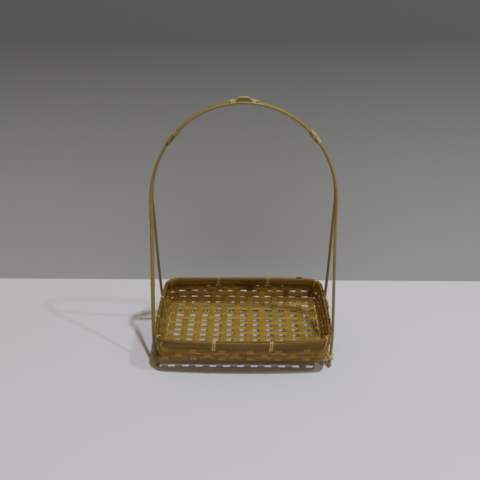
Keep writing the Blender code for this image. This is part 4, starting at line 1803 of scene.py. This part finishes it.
            def place(distance: float, across: float, through: float) -> Vector:
                """Lay the straight strand over the crown."""
                turn = end_angle - distance / self.spring_half_width
                spot, outward = self.arch_frame(pi / 2 - turn)
                lift_share = ease(clamp_share((window_angle - abs(turn)) / rise_angle))
                end_share = self.loop_end_offset_share
                offset = self.loop_strand_offset * (end_share + (1 - end_share) * lift_share)
                above = self.groove_height() + rise * lift_share + through
                return spot + LEVEL_BACK * (sense * offset + across) + outward * above

            piece = sweep(f"crown_loop_{label}_strand", distances, lambda _: section, place, tone)
            self.dresser.dress(piece, RATTAN_FINISH, Slot.RATTAN, *nodes)

    def make(self) -> None:
        """Make the hoops and what binds them together."""
        front_tone = Tone(green_share=0.45, light_share=0.5, smoke_share=0.25, grain_start=3.3)
        back_tone = Tone(green_share=0.2, light_share=0.42, smoke_share=0.35, grain_start=6.4)
        self.make_hoop("front_hoop", -1, seed=61, tone=front_tone, flat_side=-1)
        self.make_hoop("back_hoop", 1, seed=64, tone=back_tone, flat_side=0)
        pale = Tone(green_share=0.2, light_share=0.42, smoke_share=0.35, grain_start=1.1)
        # The left shoulder lashing is given a darker tone than the right one.
        dim_tone = Tone(green_share=0.3, light_share=0.0, smoke_share=0.45, grain_start=1.1)
        strand = (0, self.groove_height(), self.loop_half_height)
        wrap_angle = pi / 2 - self.crown_place / self.spring_half_width
        shoulder, crown = (self.shoulder_turns, (), self.shoulder_gap), (self.crown_turns, (strand,), 0)
        for seed, (name, angle, tone, (turns, extra, gap)) in enumerate((
                ("shoulder_lashing_right", self.shoulder_angle, pale, shoulder),
                ("shoulder_lashing_left", pi - self.shoulder_angle, dim_tone, shoulder),
                ("crown_wrap_right", wrap_angle, pale, crown),
                ("crown_wrap_left", pi - wrap_angle, pale, crown)), self.first_seed):
            self.bind_rods(name, angle, turns, seed, tone, extra, gap)
        self.make_crown_loop()


@dataclass
class Undercarriage(Assembly):
    """The cross bars below the floor, their open spirals and the ties at the legs."""

    handle: Handle
    bar_radius: float = 0.0020
    bar_height: float = 0.015167
    bar_overhang: float = 0.0030
    bar_clearance: float = 0.0003
    bar_points: int = 16
    end_bevel: float = 0.0003
    wrap_width: float = 0.0018
    wrap_thickness: float = 0.0010
    wrap_lead: float = 0.0050
    wrap_half_length: float = 0.0950
    tie_turns: float = 3.0
    tie_lead: float = 0.0014
    tie_directions: int = 90
    section_steps: int = 24
    strand_step: float = 0.0006
    bar_step: float = 0.004
    ring_spacing: float = 0.12
    first_tie_seed: int = 91

    def leg(self, x_sense: int, y_sense: int) -> tuple[Vector, Vector]:
        """A leg at the height of the bars.

        Args:
            x_sense: -1 for a left leg, 1 for a right one.
            y_sense: -1 for a front leg, 1 for a back one.

        Returns:
            Its place and its direction there, upwards.
        """
        heights = (self.bar_height - self.bar_radius, self.bar_height + self.bar_radius)
        low, high = [Vector((x_sense * self.handle.leg_half_width(height),
                             y_sense * self.handle.splay(height), height)) for height in heights]
        return (low + high) / 2, (high - low).normalized()

    @cached_property
    def bar_depth(self) -> float:
        """Distance of a bar from the middle plane."""
        spot, heading = self.leg(1, 1)
        lean_share = heading.z / hypot(heading.y, heading.z)
        return spot.y - (self.handle.radius + self.bar_radius + self.bar_clearance) / lean_share

    def make_bar(self, name: str, sense: int, seed: int) -> None:
        """Cut a round bar with slightly broken end edges.

        Args:
            name: The node it stands for.
            sense: -1 at the front, 1 at the back.
            seed: What makes its rings and grain its own.
        """
        half_length = self.leg(1, 1)[0].x + self.handle.radius + self.bar_overhang
        joints = CulmJoints(seed, self.ring_spacing)
        middle = Vector((0, sense * self.bar_depth, self.bar_height))

        def section_at(distance: float) -> Section:
            """The bar's outline, with its ends broken."""
            left = min(distance, 2 * half_length - distance)
            radius = self.bar_radius - max(self.end_bevel - left, 0)
            return Section.of_rod(radius, radius, self.bar_points)

        def place(distance: float, across: float, through: float) -> Vector:
            """Lay the bar from left to right."""
            return middle + Vector((distance - half_length, across, through))

        far_bevel = 2 * half_length - self.end_bevel
        distances = [0.0, *steps_between(self.end_bevel, far_bevel, self.bar_step), 2 * half_length]
        tone = Tone(green_share=0.3, light_share=0.3, smoke_share=0.45, grain_start=seed)
        piece = sweep(f"{name}_rod", distances, section_at, place, tone, joints)
        self.dresser.dress(piece, ROD_FINISH, Slot.ROD, name)

    def make_bar_wraps(self) -> None:
        """Open spirals of rattan, made pale with painted light on the left half of a bar, where light
        through the floor's holes falls, and darker with painted shade on the right half.
        """
        loop = TautLoop(((0, 0, self.bar_radius),), self.bar_clearance / 2 + self.wrap_thickness / 2)
        turns = self.wrap_half_length / self.wrap_lead
        section = Section.of_strand(self.wrap_width, self.wrap_thickness)
        # Painted light on each wrap's left half and painted shade on its right half.
        pale = Tone(green_share=0.2, light_share=0.8, smoke_share=0.0, grain_start=4.0)
        dark = Tone(green_share=0.6, light_share=0.1, smoke_share=0.6, grain_start=8.0)
        for name, sense in (("front_bar_wrap", -1), ("back_bar_wrap", 1)):
            for half, finish, tone in (("left", PAINTED_LIGHT_WRAP_FINISH, pale), ("right", STITCH_FINISH, dark)):
                start_x = -self.wrap_half_length if half == "left" else 0.0
                middle = Vector((start_x, sense * self.bar_depth, self.bar_height))

                def place(distance: float, across: float, through: float) -> Vector:
                    """Wrap the strand round the bar."""
                    beside, above, out_beside, out_above = loop.at(distance)
                    ahead = self.wrap_lead * distance / loop.length + across
                    return middle + Vector((ahead, beside + out_beside * through,
                                            above + out_above * through))

                distances = steps_between(0, turns * loop.length, self.strand_step)
                piece = sweep(f"{name}_{half}_strand", distances, lambda _: section, place, tone)
                nodes = (name,) if half == "left" else ()
                self.dresser.dress(piece, finish, Slot.RATTAN, *nodes)

    def rod_outline(self, spot: Vector, heading: Vector, radius: float, origin: Vector, slant: Vector
                    ) -> list[Triple]:
        """Outline of a straight rod cut by the plane along Y and a slant.

        Args:
            spot: A place on the rod's middle line.
            heading: Its direction.
            radius: Its radius.
            origin: A place on the plane, from which the outline is counted.
            slant: The plane's direction square to Y.

        Returns:
            Discs of no size on the outline, each (across, up, radius).
        """
        normal = LEVEL_BACK.cross(slant)
        beside = heading.cross(normal).normalized()
        behind = heading.cross(beside)
        outline = []
        for step in range(self.section_steps):
            turn = 2 * pi * step / self.section_steps
            point = spot + (beside * cos(turn) + behind * sin(turn)) * radius
            point += heading * ((origin - point).dot(normal) / heading.dot(normal))
            outline.append(((point - origin).dot(LEVEL_BACK), (point - origin).dot(slant), 0.0))
        return outline

    def make_tie(self, name: str, x_sense: int, y_sense: int, seed: int, tone: Tone,
                 finish: BambooFinish) -> None:
        """Tie a leg to its bar with turns that cross.

        Args:
            name: The node it stands for.
            x_sense: -1 for a left leg, 1 for a right one.
            y_sense: -1 for a front leg, 1 for a back one.
            seed: What makes its drift its own.
            tone: Its colour.
            finish: Its finish.
        """
        spot, heading = self.leg(x_sense, y_sense)
        middle = Vector((spot.x, y_sense * self.bar_depth, self.bar_height))
        thickness = self.handle.strand_thickness
        for label, tilt, layer in (("first", 1, 0), ("second", -1, 1)):
            slant = Vector((x_sense * tilt, 0, 1)).normalized()
            advance = Vector((x_sense * tilt, 0, -1)).normalized()
            reach = self.handle.strand_contact + thickness * (1 / 2 + layer)
            outline = self.rod_outline(spot, heading, self.handle.radius + reach, middle, slant)
            outline += self.rod_outline(middle, Side.RIGHT.outward, self.bar_radius + reach, middle,
                                        slant)
            loop = TautLoop(tuple(outline), 0, self.tie_directions)
            nodes = (name,) if label == "first" else ()

            def axes_at(ahead: float) -> tuple[Vector, Vector]:
                """Middle and up direction of the turns."""
                return middle + advance * ahead, slant

            self.handle.wind(f"{name}_{label}_strand", loop, self.tie_turns - layer, self.tie_lead,
                             axes_at, tone, seed + layer, *nodes, finish=finish)

    def make(self) -> None:
        """Make the bars, their spirals and the ties."""
        self.make_bar("front_cross_bar", -1, seed=81)
        self.make_bar("back_cross_bar", 1, seed=82)
        self.make_bar_wraps()
        dark = Tone(green_share=0.5, light_share=0.1, smoke_share=0.7, grain_start=2.0)
        pale = Tone(green_share=0.15, light_share=0.6, smoke_share=0.1, grain_start=5.0)
        # The front left tie's dark tone is painted shade, as its knot lies in shadow, and the front
        # right tie's pale tone and paler rattan are painted light.
        for place, (label, x_sense, y_sense, tone, finish) in enumerate((
                ("front_left", -1, -1, dark, STITCH_FINISH),
                ("front_right", 1, -1, pale, RATTAN_FINISH),
                ("back_left", -1, 1, pale, STITCH_FINISH),
                ("back_right", 1, 1, dark, STITCH_FINISH))):
            seed = self.first_tie_seed + 2 * place
            self.make_tie(f"leg_tie_{label}", x_sense, y_sense, seed, tone, finish)


# Stage, light and camera


@dataclass(frozen=True)
class PlainFinish:
    """A painted or papered surface with faint mottling, and painted shade that can darken it towards
    the top.
    """

    name: str
    colour: Colour
    roughness: float
    mottle_scale: float
    mottle_detail: float = 3
    specular: float = 0.2
    mottle_share: float = 0.03
    top_shade_share: float = 1.0
    top_height: float = 0.40
    fade_power: float = 1.5

    def build(self) -> bpy.types.Material:
        """Make the material."""
        material, wiring, shader = new_material(self.name)
        place = wiring.add("ShaderNodeTexCoord").outputs["Object"]
        cloud = wiring.noise(place, self.mottle_scale, self.mottle_detail)
        darker = tuple(part * (1 - self.mottle_share) for part in self.colour)
        # Painted shade: the colour darkens towards the top of the surface, fully at top_height.
        fade = wiring.math("DIVIDE", wiring.split(place)["Z"], self.top_height, clamp=True)
        fade = wiring.math("POWER", fade, self.fade_power)
        surface = wiring.mix(cloud, self.colour, darker)
        top = tuple(part * self.top_shade_share for part in self.colour)
        wiring.feed(shader.inputs["Base Color"], wiring.mix(fade, surface, top))
        wiring.feed(shader.inputs["Roughness"], self.roughness)
        wiring.feed(shader.inputs["Specular IOR Level"], self.specular)
        return material


FLOOR_FINISH = PlainFinish(
    "table_top", colour=(0.535, 0.535, 0.56), roughness=0.65, mottle_scale=9)
# The wall's colour carries painted shade that darkens it towards the top.
WALL_FINISH = PlainFinish(
    "wall_paper", colour=(0.458, 0.483, 0.490), roughness=0.9, mottle_scale=6, top_shade_share=0.32)


def face_along(made: bpy.types.Object, place: Triple, heading: Vector) -> None:
    """Put a lamp or camera in its place and turn it to a heading.

    Args:
        made: The lamp or camera.
        place: Its place.
        heading: Where it faces.
    """
    made.location = place
    made.rotation_mode = "QUATERNION"
    made.rotation_quaternion = heading.to_track_quat("-Z", "Y")


@dataclass(frozen=True)
class Lamp:
    """A small square lamp that faces the basket."""

    name: str
    place: Triple
    power: float
    size: float = 0.12
    aim: Triple = (0, 0, 0.05)
    colour: Colour = (0.710, 0.770, 0.880)

    def hang(self) -> None:
        """Hang it."""
        data = bpy.data.lights.new(self.name, "AREA")
        data.size = self.size
        data.energy = self.power
        data.color = self.colour
        face_along(put_up(self.name, data), self.place, Vector(self.aim) - Vector(self.place))


LAMPS = (
    Lamp("overhead", place=(0.50, -0.57, 3.0), power=73.0),
    Lamp("right", place=(1.90, -0.80, 3.0), power=27.5),
)


@dataclass
class Stage:
    """The table, the wall behind it and the lamps."""

    table_half_width: float = 3.0
    table_front: float = -3.0
    table_back: float = 0.170
    wall_height: float = 2.4
    wall_drop: float = 0.5
    fill_colour: Colour = (1.0, 0.75, 0.43)
    fill_strength: float = 0.34
    backdrop_colour: Colour = (0.50, 0.50, 0.51)

    def sheet(self, name: str, corners: Sequence[Triple],
              material: bpy.types.Material) -> bpy.types.Object:
        """Put up one flat sheet.

        Args:
            name: Its name.
            corners: Its four corners in order.
            material: Its material.

        Returns:
            The sheet.
        """
        mesh = bpy.data.meshes.new(name)
        mesh.from_pydata(corners, [], [(0, 1, 2, 3)])
        mesh.materials.append(material)
        piece = put_up(name, mesh)
        return piece

    def make_room(self) -> None:
        """The table's top and a wall that only its front side shows."""
        wide, front, back = self.table_half_width, self.table_front, self.table_back
        self.sheet("table", ((-wide, front, 0), (wide, front, 0), (wide, back, 0), (-wide, back, 0)),
                   FLOOR_FINISH.build())
        paper = WALL_FINISH.build()
        wiring, nodes = Wiring(paper.node_tree), paper.node_tree.nodes
        behind = wiring.add("ShaderNodeNewGeometry").outputs["Backfacing"]
        clear = wiring.add("ShaderNodeBsdfTransparent").outputs[0]
        shown = wiring.feed_row(wiring.add("ShaderNodeMixShader"), behind,
                                nodes["Principled BSDF"].outputs[0], clear)
        wiring.feed(nodes["Material Output"].inputs["Surface"], shown)
        low, high = -self.wall_drop, self.wall_height
        wall = self.sheet("wall", ((-wide, back, low), (wide, back, low), (wide, back, high),
                                   (-wide, back, high)), paper)
        wall.visible_shadow = False
        wall.visible_diffuse = False

    def make_light(self) -> None:
        """The lamps and a surround that fills warmly and looks grey."""
        for lamp in LAMPS:
            lamp.hang()
        world = bpy.data.worlds.new("surround")
        world.use_nodes = True
        wiring = Wiring(world.node_tree)
        fill = world.node_tree.nodes["Background"]
        wiring.feed_all(fill, color=self.fill_colour, strength=self.fill_strength)
        backdrop = wiring.add("ShaderNodeBackground")
        wiring.feed_all(backdrop, color=self.backdrop_colour)
        rays = wiring.add("ShaderNodeLightPath").outputs
        seen = wiring.math("MAXIMUM", rays["Is Camera Ray"], rays["Is Glossy Ray"])
        seen = wiring.math("MAXIMUM", seen, rays["Is Transmission Ray"])
        shown = wiring.feed_row(wiring.add("ShaderNodeMixShader"), seen, fill.outputs[0],
                                backdrop.outputs[0])
        wiring.feed(world.node_tree.nodes["World Output"].inputs["Surface"], shown)
        bpy.context.scene.world = world

    def make(self) -> None:
        """Set the stage."""
        self.make_room()
        self.make_light()


@dataclass(frozen=True)
class Viewpoint:
    """The photograph's camera."""

    place: Triple = (0.0038, -0.7146, 0.543)
    pitch: float = 0.4842
    yaw: float = 0.0118
    frame_pixels: float = 480
    focal_pixels: float = 600
    sensor: float = 36

    def make(self) -> None:
        """Put up the camera."""
        data = bpy.data.cameras.new("photograph")
        data.sensor_width = self.sensor
        data.lens = self.sensor * self.focal_pixels / self.frame_pixels
        camera = put_up("photograph", data)
        level_share = cos(self.pitch)
        heading = Vector((-sin(self.yaw) * level_share, cos(self.yaw) * level_share, -sin(self.pitch)))
        face_along(camera, self.place, heading)
        bpy.context.scene.camera = camera


def main() -> None:
    """Build the basket and its stage."""
    logging.basicConfig(level=logging.INFO, format="%(name)s: %(message)s")
    bpy.context.scene.view_settings.view_transform = "Standard"
    Viewpoint().make()
    sheet, weave, dresser = Sheet(), Weave(), Dresser()
    WovenStrips(sheet, weave, dresser).make()
    Bands(sheet, weave, dresser).make()
    Stitches(sheet, weave, dresser).make()
    handle = Handle(sheet, weave, dresser)
    handle.make()
    Undercarriage(sheet, weave, dresser, handle).make()
    Stage().make()


if __name__ == "__main__":
    main()
